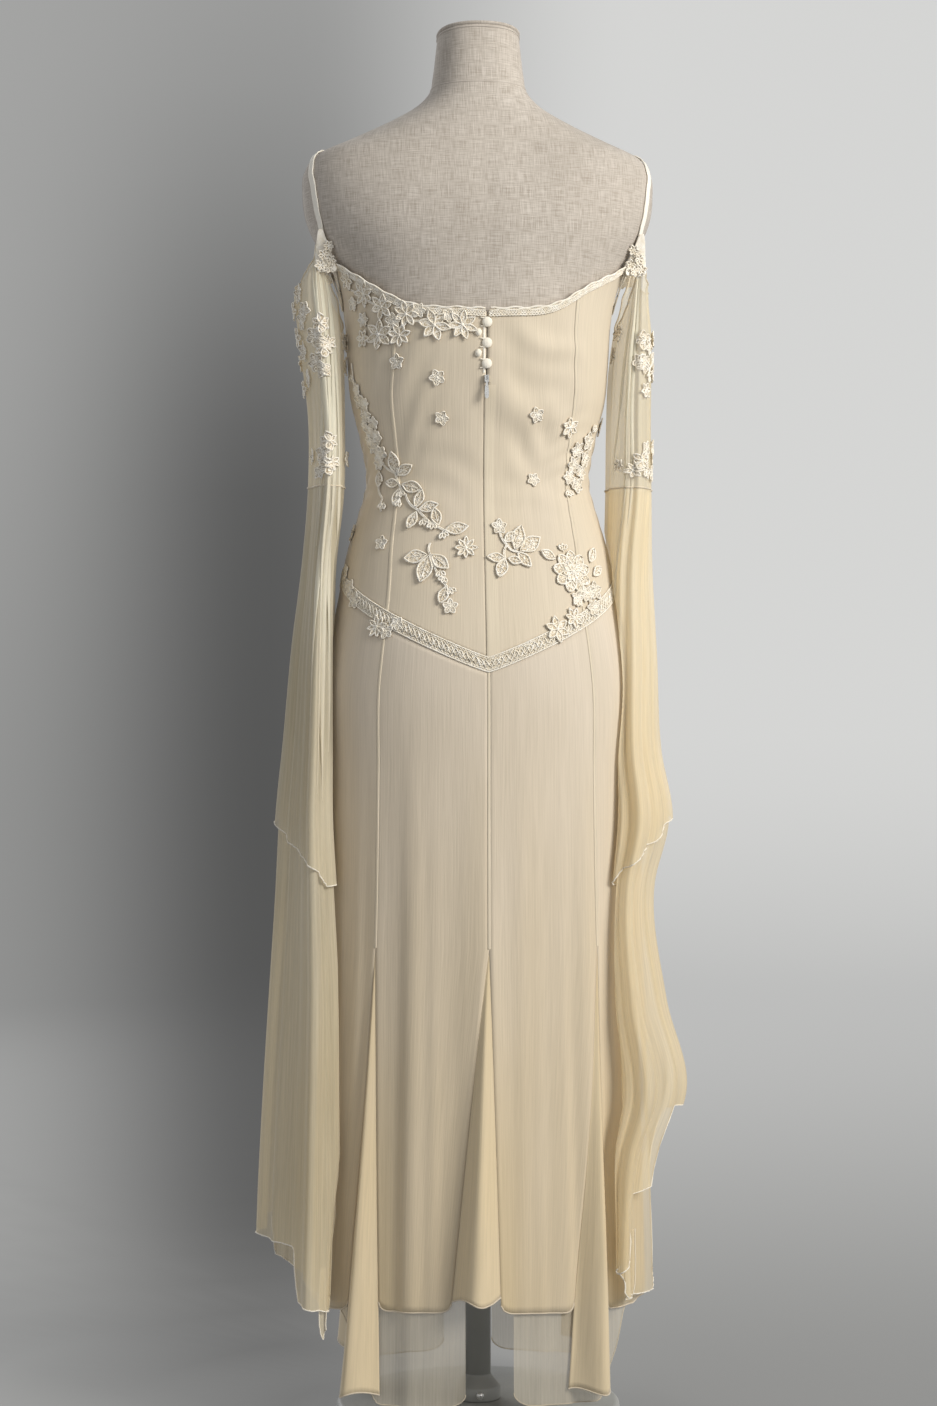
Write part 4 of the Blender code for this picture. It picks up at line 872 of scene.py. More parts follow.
# the long and short flounces: side, shares of the sheer cloth's three colours, glow. The shares are painted
# light: the left flounce is painted darker, in shade away from the window, and the right one paler, in its
# light.
FLOUNCE_PAINTED_LIGHT = (("left", 0.84, 0.78, 1.04, 0.24), ("right", 1.06, 1.12, 1.14, 0.38))
flounce_lit_and_shaded = {}
for side_name, light_share, deep_share, low_share, let_through in FLOUNCE_PAINTED_LIGHT:
    flounce_lit_and_shaded[side_name] = chiffon_look(
        "flounce_lit_and_shaded_" + side_name,
        shaded(SHEER_LIGHT, light_share),
        shaded(SHEER_DEEP, deep_share),
        0.62,
        let_through,
        shaded(SHEER_LOW_SHADE, low_share),
        0.5,
    )
hem_chiffon = chiffon_look("hem_chiffon", CREAM, BEIGE, glow=0.10)
pleated = chiffon_look("pleated_sheer", PALE, CREAM_LIGHT, solid=0.90, glow=0.35, crinkle=0.5)
seam_cloth = chiffon_look("seam_fold", SEAM, CREAM, glow=0.08)
sheer_hem = chiffon_look("sheer_hem", CREAM_LIGHT, CREAM, solid=0.8, glow=0.25)
band_lace = lace_look("band_lace", CREAM_LIGHT, SEAM, open_share=0.3)
guipure = lace_look("guipure_lace", IVORY, IVORY_SHADE)
net_lace = lace_look("net_lace", CREAM_LIGHT, SEAM, open_share=0.6)
satin = chiffon_look("satin_tape", IVORY, CREAM_LIGHT, glow=0.05)
linen = linen_look()
metal = metal_look()
paint = paint_look()


# The dress form and its stand

FORM_COLUMNS = 144
FORM_EDGE_RADIUS = 12 * MM
FORM_EDGE_TUCK = 10 * MM
FORM_FOOT_REACH = 0.14
SHOULDER_HEIGHT = 1.30
NECK_SEAM_HEIGHT = 1.3975
SIDE_SEAM_ENDS = (0.72, 1.315)
NECK_TILT_FROM = 1.40
# places on the linen's map for piping cut from the same cloth
PIPING_MAP = (0.01, 0.02)
# lift in mm and share of the neck's width, from its rim over the cap to its middle
CAP_PROFILE = (
    (0.0, 0.985),
    (0.3, 1.0),
    (1.2, 1.022),
    (2.4, 1.026),
    (3.4, 1.010),
    (4.0, 0.97),
    (4.0, 0.6),
    (4.1, 0.02),
)


def build_form():
    edge_top = FORM_BOTTOM + FORM_EDGE_RADIUS
    stretches = ((FORM_BOTTOM, edge_top, 6), (edge_top, SHOULDER_HEIGHT, 82), (SHOULDER_HEIGHT, NECK_TOP, 48))
    heights = np.concatenate([np.linspace(*stretch)[1:] for stretch in stretches])
    heights = np.concatenate([[FORM_BOTTOM], heights])
    # the columns start at the left side seam
    angles = np.linspace(90, 450, FORM_COLUMNS + 1)[:-1]
    front, side, back = FORM_COLUMNS // 4, FORM_COLUMNS // 2, 3 * FORM_COLUMNS // 4
    a, h = np.meshgrid(angles, heights[::-1])
    points = form_point(a, h)
    tuck = FORM_EDGE_TUCK * np.clip(1 - (h - FORM_BOTTOM) / FORM_EDGE_RADIUS, 0, 1) ** 1.5
    points[..., :2] *= (1 - tuck / FORM_FOOT_REACH)[..., None]
    points[..., 2] += NECK_TILT * points[..., 1] * between(h, NECK_TILT_FROM, NECK_TOP)
    across = lengths_along(points, 1)
    middle = np.where(np.arange(FORM_COLUMNS) < side, across[:, [front]], across[:, [back]])
    uvs = np.stack([across - middle, h], -1)
    body = Bundle()
    body.add(points, grid_faces(*points.shape[:2], closed=True), uvs)
    bottom = points[-1]
    fan = [(i, (i + 1) % FORM_COLUMNS, FORM_COLUMNS) for i in range(FORM_COLUMNS)]
    body.add(np.concatenate([bottom, [bottom.mean(0)]]), fan)
    join_to(body.made("form_body", linen), "linen", "form_torso")

    rim = points[0]
    rows = []
    for lift, grow in CAP_PROFILE:
        ring = rim * [grow, grow, 1]
        ring[:, 2] = NECK_TOP + lift * MM + NECK_TILT * ring[:, 1]
        rows.append(ring)
    cap = np.array(rows[::-1])
    uvs = np.stack([cap[..., 0], cap[..., 1] + cap[..., 2]], -1)
    join_to(grid_object("neck_cap_cloth", cap, uvs, linen, closed=True), "linen", "form_neck_cap")

    piping = Bundle()
    for height, radius in ((NECK_TOP - 2.2 * MM, 0.9 * MM), (NECK_SEAM_HEIGHT, 0.55 * MM)):
        path = form_point(np.linspace(0, 360, FORM_COLUMNS + 1)[:-1], np.full(FORM_COLUMNS, height))
        path[:, 2] += NECK_TILT * path[:, 1] * between(height, NECK_TILT_FROM, NECK_TOP)
        piping.tube(path, radius, closed=True, uvs=PIPING_MAP)
    for seam in (90, 270):
        level = np.linspace(*SIDE_SEAM_ENDS, 140)
        path = form_point(np.full(len(level), float(seam)), level, -0.25 * MM)
        piping.tube(path, 0.55 * MM, 5, uvs=PIPING_MAP)
    join_to(piping.made("form_seams", linen), "linen")


def lathe(name, profile, material, count=96):
    """A round piece from its radius and height along its outline."""
    turn = 2 * np.pi * np.arange(count) / count
    rows = [np.stack([r * np.cos(turn), r * np.sin(turn), np.full(count, z)], -1) for r, z in profile]
    return grid_object(name, np.array(rows), None, material, closed=True)


POLE_RADIUS = 13.5 * MM
COLLAR_HEIGHT = 27 * MM
COLLAR_FLARE = 14 * MM
SCREW_HEIGHT = 8 * MM
PLATE_EDGE_RADIUS = 6 * MM


def build_stand():
    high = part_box("stand_base")[1]
    radius, height, edge = high.x, high.z, PLATE_EDGE_RADIUS
    profile = [(0.001, height), (0.5 * radius, height), (radius - edge, height)]
    for turn in np.linspace(0, 90, 9)[1:]:
        across, down = math.sin(math.radians(turn)), 1 - math.cos(math.radians(turn))
        profile.append((radius - edge + edge * across, height - edge * down))
    profile += [(radius, 1.2 * MM), (radius - 1.2 * MM, 0), (0.001, 0)]
    join_to(lathe("base_plate", profile, paint), "paint", "stand_base")
    low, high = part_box("stand_pole")
    foot, top, wide = low.z, high.z, high.x
    profile = [(POLE_RADIUS, top), (POLE_RADIUS, foot + COLLAR_HEIGHT)]
    for s in np.linspace(0, 1, 10):
        reach = POLE_RADIUS + (wide - POLE_RADIUS) * (1 - math.cos(math.pi * s / 2)) ** 0.7
        profile.append((reach, foot + COLLAR_HEIGHT - COLLAR_FLARE * s))
    profile += [(wide, foot + 2 * MM), (wide - 1 * MM, foot), (POLE_RADIUS, foot)]
    join_to(lathe("pole_and_collar", profile, paint, 64), "paint", "stand_pole")
    profile = [(0.0005, 6 * MM), (3.4 * MM, 5.4 * MM), (4 * MM, 4 * MM), (4 * MM, 0)]
    screw = lathe("collar_screw", profile, metal, 24)
    screw.rotation_euler = (math.radians(-90), 0, 0)
    screw.location = (0, wide - 1.0 * MM, foot + SCREW_HEIGHT)
    join_to(screw, "metal")


# The cloth

CLOTH_THICKNESS = 0.7 * MM
SKIRT_HEM_RADIUS = 0.9 * MM
SHEER_HEM_RADIUS = 0.6 * MM
# how flat hems and seams lie on the cloth
HEM_SQUASH = 0.8
SEAM_SQUASH = 0.22
# degrees between a panel's edge and its seam, and how far a godet lies under the gores beside it
SEAM_PARTING = 0.12
GODET_LAP = 0.05
# height above a godet's top over which its seam bends towards its middle
GODET_BEND = 0.25


def cloth(
    name, surface, angles, heights, material, slot, node, held, rests_on, closed=False, thickness=0.0, out=0.0
):
    """A sheet over grids of angles and heights, rows from top to bottom."""
    points = surface(angles, heights, out)
    grain = np.broadcast_to(lengths_along(points, 1).mean(axis=0), points.shape[:2])
    uvs = np.stack([grain, points[..., 2]], -1)
    piece = grid_object(name, points, uvs, material, closed)
    if thickness:
        solid = piece.modifiers.new("thickness", "SOLIDIFY")
        solid.thickness = thickness
        solid.offset = -1
    join_to(piece, slot, node)
    full = np.concatenate([points, points[:, :1]], axis=1) if closed else points
    width = float(lengths_along(full, 1)[:, -1].max())
    length = float(lengths_along(full, 0)[-1].max())
    area = min(grid_area(full), width * length)


def ridge(bundle, surface, angles, heights, radius, out=0.0, squash=0.45):
    """A narrow raised fold along a line on the cloth."""
    path = surface(angles, heights, out)
    outer = surface(angles, heights, out + 1 * MM)
    normals = (outer - path) / (1 * MM)
    run = lengths_along(path[None], 1)[0]
    uvs = np.repeat(np.stack([np.full(len(path), 0.01), run], -1), 6, axis=0)
    bundle.tube(path, radius, squash=squash, normals=normals, uvs=uvs)


# degrees that each back seam moves at the waist, so that it stays upright where the waist is narrow
SEAM_BENDS = {40: 6.5, 320: -5.5}
SEAM_BEND_HEIGHT = 1.0
SEAM_BEND_REACH = 0.085


def seam_at(seam, height):
    """A panel seam's angle at a height."""
    waist = np.exp(-(((height - SEAM_BEND_HEIGHT) / SEAM_BEND_REACH) ** 2))
    return seam + SEAM_BENDS.get(seam, 0) * waist


def panels():
    """Each panel's name, the angles of its two seams and how many columns of points it takes."""
    for name, low, high in zip(PANEL_NAMES, PANEL_SEAMS, PANEL_SEAMS[1:]):
        yield name, low, high, max(24, int((high - low) * 0.9))


def build_bodice():
    for name, low, high, columns in panels():
        flat, level = np.meshgrid(np.linspace(low, high, columns), np.linspace(0, 1, 84))
        top, foot = neck_edge(flat) - 0.4 * TRIM_WIDTH, band_middle(flat) + BAND_WIDTH / 2
        height = top + (foot - top) * level
        share = (flat - low) / (high - low)
        first, last = seam_at(low, height) + SEAM_PARTING, seam_at(high, height) - SEAM_PARTING
        a = first + (last - first) * share
        cloth(
            "bodice_cloth_" + name, dress, a, height, bodice_chiffon, "chiffon", "bodice_" + name,
            "stretched", "form_body", thickness=CLOTH_THICKNESS,
        )
    seams = Bundle()
    for seam in PANEL_SEAMS[1:-1]:
        foot, top = float(band_middle(seam)) + BAND_WIDTH / 2, float(neck_edge(seam)) - 2 * MM
        height = foot + (top - foot) * np.linspace(1, 0, 110)
        ridge(seams, dress, seam_at(seam, height), height, 2.3 * MM, 0.0, SEAM_SQUASH)
    join_to(seams.made("bodice_seams", seam_cloth), "chiffon")


def godet_at(seam):
    for godet in GODETS:
        if abs(angle_between(godet[1], seam)) < 2:
            return godet
    return None


def skirt_seam(seam, height):
    """A skirt seam's angle at a height. Above a godet it bends towards the godet's middle."""
    godet = godet_at(seam)
    if godet is None:
        return seam + 0 * height
    bend = np.clip((GODET_TOP + GODET_BEND - height) / GODET_BEND, 0, 1)
    return seam + angle_between(godet_middle(godet, height), seam) * bend


def gore_edge(seam, height, side):
    """The angle of a gore's edge beside a seam, which leaves room for a godet."""
    godet = godet_at(seam)
    if godet is None:
        return seam + side * SEAM_PARTING + 0 * height
    spread, _ = godet_spread(godet, height)
    return skirt_seam(seam, height) + side * (spread - GODET_LAP)


def gore_hem(low, high, angle):
    """A gore's hem height, rounded at its corners and a little wavy."""
    near = np.clip(np.minimum(angle - low, high - angle) / GORE_CORNER_SPAN, 0, 1)
    lift = GORE_CORNER * (1 - np.sqrt(np.maximum(0.0, 1 - (1 - near) ** 2)))
    return GORE_HEM + lift + GORE_RIPPLE * np.sin(np.radians(3 * angle + 40))


def build_gores(hems):
    for name, low, high, columns in panels():
        hem_low, hem_high = gore_edge(low, GORE_HEM, 1), gore_edge(high, GORE_HEM, -1)
        share, level = np.meshgrid(np.linspace(0, 1, columns), np.linspace(0, 1, 90))
        flat = low + (high - low) * share
        top = band_middle(flat) - BAND_WIDTH / 2
        hem = gore_hem(hem_low, hem_high, hem_low + (hem_high - hem_low) * share)
        height = top + (hem - top) * level
        a = gore_edge(low, height, 1) * (1 - share) + gore_edge(high, height, -1) * share
        cloth(
            "skirt_cloth_" + name, plain_dress, a, height, chiffon, "chiffon", "skirt_" + name,
            "hung", "form_body", thickness=CLOTH_THICKNESS,
        )
        ridge(hems, plain_dress, a[-1], height[-1], SKIRT_HEM_RADIUS, -0.3 * MM, HEM_SQUASH)


def build_godets(hems):
    for godet in GODETS:
        name, hem = godet[0], godet[4]
        top = GODET_TOP - 3 * MM
        share, level = np.meshgrid(np.linspace(-1, 1, 29), np.linspace(0, 1, 72))
        height = top + (hem - top) * level
        spread, _ = godet_spread(godet, height)
        height = height + 3 * MM * np.sin(4 * share + godet[1]) * level
        a = godet_middle(godet, height) + share * spread
        cloth(
            name + "_cloth", dress, a, height, godet_chiffon, "chiffon", name,
            "hung", "skirt_cloth_back_left", thickness=CLOTH_THICKNESS, out=-0.35 * MM,
        )
        ridge(hems, dress, a[-1], height[-1], SKIRT_HEM_RADIUS, -0.6 * MM, HEM_SQUASH)


def build_skirt():
    hems = Bundle()
    build_gores(hems)
    build_godets(hems)
    join_to(hems.made("skirt_hems", hem_chiffon), "chiffon")
    seams = Bundle()
    for seam in PANEL_SEAMS[:-1]:
        foot = GODET_TOP if godet_at(seam) else GORE_HEM
        height = np.linspace(float(band_middle(seam)) - BAND_WIDTH / 2, foot, 120)
        ridge(seams, plain_dress, skirt_seam(seam, height), height, 1.7 * MM, 0.0, SEAM_SQUASH)
    join_to(seams.made("skirt_seams", seam_cloth), "chiffon")


# the sheer petals' hems rise behind the gores' hems at the sides
SHEER_SIDE_RISE = 95 * MM
SHEER_CORNER = 14 * MM
# a slit between two petals: the height where it opens, over what length, and half its degrees above that
SLIT_TOP = 0.70
SLIT_LENGTH = 0.4
SLIT_START = 0.25
SHEER_OUT = -WALL - SHEER_DROP
# angles at which two petals part in a slit, and the degrees over which a petal's corner is rounded
SHEER_PARTINGS = (0, 180, 360)
SHEER_CORNER_SPAN = 7.0


def build_sheer_layer():
    hems = Bundle()
    for name, low, high in SHEER_PETALS:
        share, level = np.meshgrid(np.linspace(0, 1, 64), np.linspace(0, 1, 84))
        share = 0.5 - 0.5 * np.cos(np.pi * share) * (0.35 + 0.65 * np.abs(np.cos(np.pi * share)))
        flat = low + (high - low) * share
        top = band_middle(flat) - BAND_WIDTH / 2 - 8 * MM
        opened = np.clip((SLIT_TOP - (top + (SHEER_HEM - top) * level)) / SLIT_LENGTH, 0, 1)
        slit = SLIT_START + (SHEER_SLIT - SLIT_START) * opened
        first = low + (slit if low in SHEER_PARTINGS else 0.1)
        last = high - (slit if high in SHEER_PARTINGS else 0.1)
        a = first + (last - first) * share
        near_low = (a - first) / SHEER_CORNER_SPAN if low in SHEER_PARTINGS else np.ones_like(a)
        near_high = (last - a) / SHEER_CORNER_SPAN if high in SHEER_PARTINGS else np.ones_like(a)
        near = np.clip(np.minimum(near_low, near_high), 0, 1)
        from_middle = np.minimum(np.abs(angle_between(a, 0)), np.abs(angle_between(a, 180)))
        hem = SHEER_HEM + SHEER_CORNER * (1 - np.sqrt(np.maximum(0.0, 1 - (1 - near) ** 2)))
        hem = hem + SHEER_SIDE_RISE * between(from_middle, 36, 58)
        height = top + (hem - top) * level
        cloth(
            "sheer_cloth_" + name, plain_dress, a, height, thin_sheer, "sheer", "sheer_" + name,
            "hung", "form_body", out=SHEER_OUT,
        )
        ridge(hems, plain_dress, a[-1], height[-1], SHEER_HEM_RADIUS, SHEER_OUT, HEM_SQUASH)
    join_to(hems.made("sheer_hems", sheer_hem), "sheer")


# soft pleats down the back of each sleeve: angle round it, length in metres and radius in mm
SLEEVE_PLEATS = {
    "left": (
        (-30, 0.34, 2.4), (-21, 0.50, 3.0), (-12, 0.56, 3.2), (-3, 0.56, 3.2), (6, 0.48, 3.0),
        (15, 0.30, 2.2),
    ),
    "right": ((-30, 0.20, 1.8), (-18, 0.34, 2.2), (-6, 0.28, 2.0)),
}


def build_sleeve(name, side, long_hem):
    """A sleeve's upper tube, its short and its long flounce, their hems, seams and soft pleats."""
    outer, inner = sleeve_surface(side), sleeve_surface(side, FLOUNCE_INSET)
    columns = (270 + side * np.linspace(0, 360, 121)[:-1]) % 360
    ripple = 0.7 * MM * np.sin(np.radians(columns * 40))
    upper, strap, hems = "sleeve_cloth_" + name, "strap_tape_" + name, Bundle()
    # name, surface, rows, top, foot, finish, node, held and what it hangs from
    finish, drape = flounce_lit_and_shaded[name], "gathered"
    parts = (
        (upper, outer, 44, upper_sleeve_top, SLEEVE_SEAM, sheer, "sleeve_upper_", "hung", strap),
        ("short_flounce_" + name, outer, 66, SLEEVE_SEAM, SHORT_HEM, finish, "flounce_short_", drape, upper),
        ("long_flounce_" + name, inner, 104, SLEEVE_SEAM, long_hem, finish, "flounce_long_", drape, upper),
    )
    for piece, surface, rows, top, foot, material, node, held, hung_from in parts:
        level, a = np.meshgrid(np.linspace(0, 1, rows), columns, indexing="ij")
        if callable(top):
            top = top(a)
        else:
            foot = round_curve(foot, a, 360)
        heights = top + (foot - top) * level
        cloth(piece, surface, a, heights, material, "sheer", node + name, held, hung_from, closed=True)
        if held == drape:
            hems.tube(surface(columns, foot[0], ripple), 0.75 * MM, closed=True, uvs=PIPING_MAP)
    join_to(hems.made("flounce_hems_" + name, rolled), "sheer")

    seam = Bundle()
    seam.tube(outer(columns, np.full(len(columns), SLEEVE_SEAM), 0.3 * MM), 1.0 * MM, closed=True)
    seam.tube(outer(columns, upper_sleeve_top(columns), 0.0), 0.9 * MM, closed=True)
    join_to(seam.made("sleeve_seam_" + name, seam_cloth), "sheer")

    pleats = Bundle()
    level = np.linspace(0, 1, 90)
    for angle, length, radius in SLEEVE_PLEATS[name]:
        top = float(upper_sleeve_top(angle % 360)) - 2 * MM
        taper = radius * MM * np.sqrt(np.clip(4 * np.minimum(level, 1 - level), 0.02, 1))
        spread = 1 + 0.9 * between(level, 0.3, 1.0)
        path_angle = (angle * spread + 3 * np.sin(9 * level + angle)) % 360
        ridge(pleats, outer, path_angle, top - length * level, taper, 0.1 * MM, 0.28)
    join_to(pleats.made("sleeve_pleats_" + name, pleated), "sheer")


TIP_ROWS = 40
TIP_COLUMNS = 25
# share of the tip's length, share of its width there
TIP_SHAPE = ((0, 0.8), (0.45, 1), (0.8, 0.95), (0.93, 0.7), (1, 0.35))


def build_tips():
    """The narrow end of each sleeve that hangs inside the long flounce, with a hem down, across and up."""
    for name, middle, hem in TIPS:
        side = 1 if name == "left" else -1
        surface = sleeve_surface(side, FLOUNCE_INSET)
        share, level = np.meshgrid(np.linspace(-0.5, 0.5, TIP_COLUMNS), np.linspace(0, 1, TIP_ROWS))
        a = middle + side * share * np.interp(level, *zip(*TIP_SHAPE)) * TIP_SPAN
        height = hem + TIP_REACH[0] - level * sum(TIP_REACH)
        out = -SHEER_WALL - TIP_INSET
        cloth(
            "sleeve_tip_cloth_" + name, surface, a, height, sheer, "sheer", "sleeve_tip_" + name,
            "hung", "long_flounce_" + name, out=out,
        )
        points = surface(a, height, out)
        edge = Bundle()
        edge.tube(np.concatenate([points[:, 0], points[-1, 1:-1], points[::-1, -1]]), 0.6 * MM)
        join_to(edge.made("tip_hem_" + name, rolled), "sheer")


# Lace

PETAL_POINTS = 13
PLATE_STEPS = 5
CORD_SIDES = 4
# radii of cords and a net fill's dome, in mm
MIDDLE_VEIN = 0.44
SIDE_VEIN = 0.36
STALK = 0.5
STEM_CORD = 0.75
FILL_DOME = 0.25
# buds lean apart by this many degrees
BUD_SPREAD = 34
ROSETTE_PETALS = 9
# a knot's height and reach as shares of its size, and the lengths of a star's petals in turn
KNOT_PROFILE = ((0.0, 1.0), (0.5, 0.9), (0.85, 0.6), (1.0, 0.08))
STAR_REACH = (1.0, 0.92, 0.97)
INNER_TURN = math.degrees(0.35)


def toward(turn):
    """A flat step of one in a direction, in degrees from upright."""
    return np.array([math.sin(math.radians(turn)), math.cos(math.radians(turn))])


class Lace:
    """Lace motifs laid on a surface. Shapes are flat, in mm from an anchor, towards growing angles and up."""

    def __init__(self, surface, lift=0.9):
        self.surface, self.lift, self.parts = surface, lift, Bundle()

    def mm_per_degree(self, angle, height):
        ahead, behind = (self.surface(np.array(angle + half), np.array(height)) for half in (0.5, -0.5))
        return float(np.linalg.norm(ahead - behind)) / MM

    def laid(self, anchor, flat, lift):
        """Points on the surface for flat points in mm, raised from it by lift in mm."""
        angle, height = anchor
        flat = np.asarray(flat, float)
        across = angle + flat[..., 0] / self.mm_per_degree(angle, height)
        return self.surface(across, height + flat[..., 1] * MM, (self.lift + lift) * MM)

    def cord(self, anchor, line, radius, lift, closed=False):
        """A raised cord along a flat line."""
        path = self.laid(anchor, line, np.broadcast_to(lift, (len(line),)))
        self.parts.tube(path, radius * MM, CORD_SIDES, closed)

    def plate(self, anchor, left, right, base, curl):
        """A thin domed fill of net between two flat lines of as many points."""
        s = np.linspace(0, 1, PLATE_STEPS)[:, None, None]
        flat = left[None] * (1 - s) + right[None] * s
        arch = np.sin(np.pi * s[..., 0])
        run = np.linspace(0, 1, left.shape[0])[None]
        rise = FILL_DOME * arch * np.sin(np.pi * (0.04 + 0.92 * run)) + curl * run
        points = self.laid(anchor, flat, base + rise)
        self.parts.add(points, grid_faces(*points.shape[:2]), (NET_FILL_MARK, 0.0))

    def petal(self, anchor, centre, turn, length, width, base=0.0, pointed=0.0, veins=2, curl=0.9, rim=0.62):
        """One petal or leaf from its foot at centre: a corded rim, a fill of net and raised veins."""
        s = np.linspace(0, 1, PETAL_POINTS)
        half = 0.5 * width * np.sin(np.pi * s ** (0.85 + 0.25 * pointed)) ** (0.75 + 0.45 * pointed)
        along = toward(turn)
        side = np.array([along[1], -along[0]])
        spine = np.asarray(centre) + along * (s * length)[:, None]
        left, right = spine - side * half[:, None], spine + side * half[:, None]
        self.plate(anchor, left, right, base - 0.1, curl)
        lift = base + 0.5 + curl * np.concatenate([s, s[-2:0:-1]])
        self.cord(anchor, np.concatenate([left, right[-2:0:-1]]), 1.25 * rim, lift, closed=True)
        if veins:
            self.cord(anchor, spine[1:-2], MIDDLE_VEIN, base + 0.6 + curl * s[1:-2])
        for i in range(1, veins + 1):
            k = int(i / (veins + 1) * (PETAL_POINTS - 1))
            for sign in (-1, 1):
                tip = spine[k] + along * (0.16 * length) + side * (sign * 0.80 * half[k])
                self.cord(anchor, np.linspace(spine[k], tip, 3), SIDE_VEIN, base + 0.55 + curl * s[k])

    def knot(self, anchor, centre, radius, base=0.4):
        """A small round worked centre."""
        turns = np.linspace(0, 2 * np.pi, 10)[:-1]
        rows = []
        for rise, reach in KNOT_PROFILE:
            flat = np.asarray(centre) + radius * reach * np.stack([np.sin(turns), np.cos(turns)], -1)
            rows.append(self.laid(anchor, flat, np.full(len(turns), base + rise * radius * 0.8)))
        points = np.array(rows[::-1])
        self.parts.add(points, grid_faces(*points.shape[:2], closed=True))

    def star(self, angle, height, radius, petals=7, turn=0.0):
        """A flower of slim pointed petals, each an open corded loop, round a ring of knots."""
        anchor, width = (angle, height), 2.7 * radius / petals
        for i in range(petals):
            reach, base = radius * STAR_REACH[i % 3], 0.1 + 0.25 * (i % 2)
            self.petal(anchor, (0, 0), turn + 360 * i / petals, reach, width, base, 0.9, 0, 1.3, 0.70)
        for i in range(petals):
            self.knot(anchor, 0.26 * radius * toward(turn + 360 * (i + 0.5) / petals), 0.8, 0.7)
        self.knot(anchor, (0, 0), 0.11 * radius + 0.3, 0.9)

    def flower(self, angle, height, radius, petals=5, turn=0.0):
        """A small flower of round petals."""
        anchor, width = (angle, height), radius * 3.5 / petals
        for i in range(petals):
            self.petal(anchor, (0, 0), turn + 360 * i / petals, radius, width, veins=1)
        self.knot(anchor, (0, 0), 0.13 * radius + 0.4, 0.6)

    def buds(self, angle, height, turn, length=7):
        """Three closed buds on short stalks."""
        anchor = (angle, height)
        for lean in (turn - BUD_SPREAD, turn, turn + BUD_SPREAD):
            foot = toward(lean) * 0.35 * length
            self.cord(anchor, np.linspace((0, 0), foot, 4), STALK, 0.5)
            self.petal(anchor, foot, lean, 0.8 * length, 0.42 * length, 0.2, 0.3, veins=0, rim=0.75)

    def leaf(self, angle, height, length, turn, width=0.52):
        self.petal((angle, height), (0, 0), turn, length, length * width, 0.1, 0.75, 3, 1.1, 0.78)

    def stem(self, angle, height, far_angle, far_height, bend=2.0):
        """Two cords side by side in a slight bend between two places."""
        scale = self.mm_per_degree((angle + far_angle) / 2, height)
        reach = np.array([(far_angle - angle) * scale, (far_height - height) / MM])
        s = np.linspace(0, 1, 12)
        side = np.array([-reach[1], reach[0]]) / max(np.linalg.norm(reach), 1e-6)
        line = reach[None] * s[:, None] + side[None] * (bend * np.sin(np.pi * s))[:, None]
        for shift in (-0.6, 0.6):
            self.cord((angle, height), line + side[None] * shift, STEM_CORD, 0.6)

    def rosette(self, angle, height, radius):
        """A large round flower: nine broad petals of net with a double rim, and smaller ones inside."""
        anchor = (angle, height)
        step = 360 / ROSETTE_PETALS
        for turn in step * np.arange(ROSETTE_PETALS):
            foot = 0.26 * radius * toward(turn)
            self.petal(anchor, foot, turn, 0.74 * radius, 0.56 * radius, 0.1, -0.5, 2, 0.6, 0.75)
            foot = 0.12 * radius * toward(turn + INNER_TURN)
            self.petal(anchor, foot, turn + step / 2, 0.42 * radius, 0.24 * radius, 0.9, 0.2, 0, 0.4)
        self.knot(anchor, (0, 0), 0.12 * radius, 1.0)

    def made(self, name, *nodes):
        join_to(self.parts.made(name, guipure), "lace", *nodes)


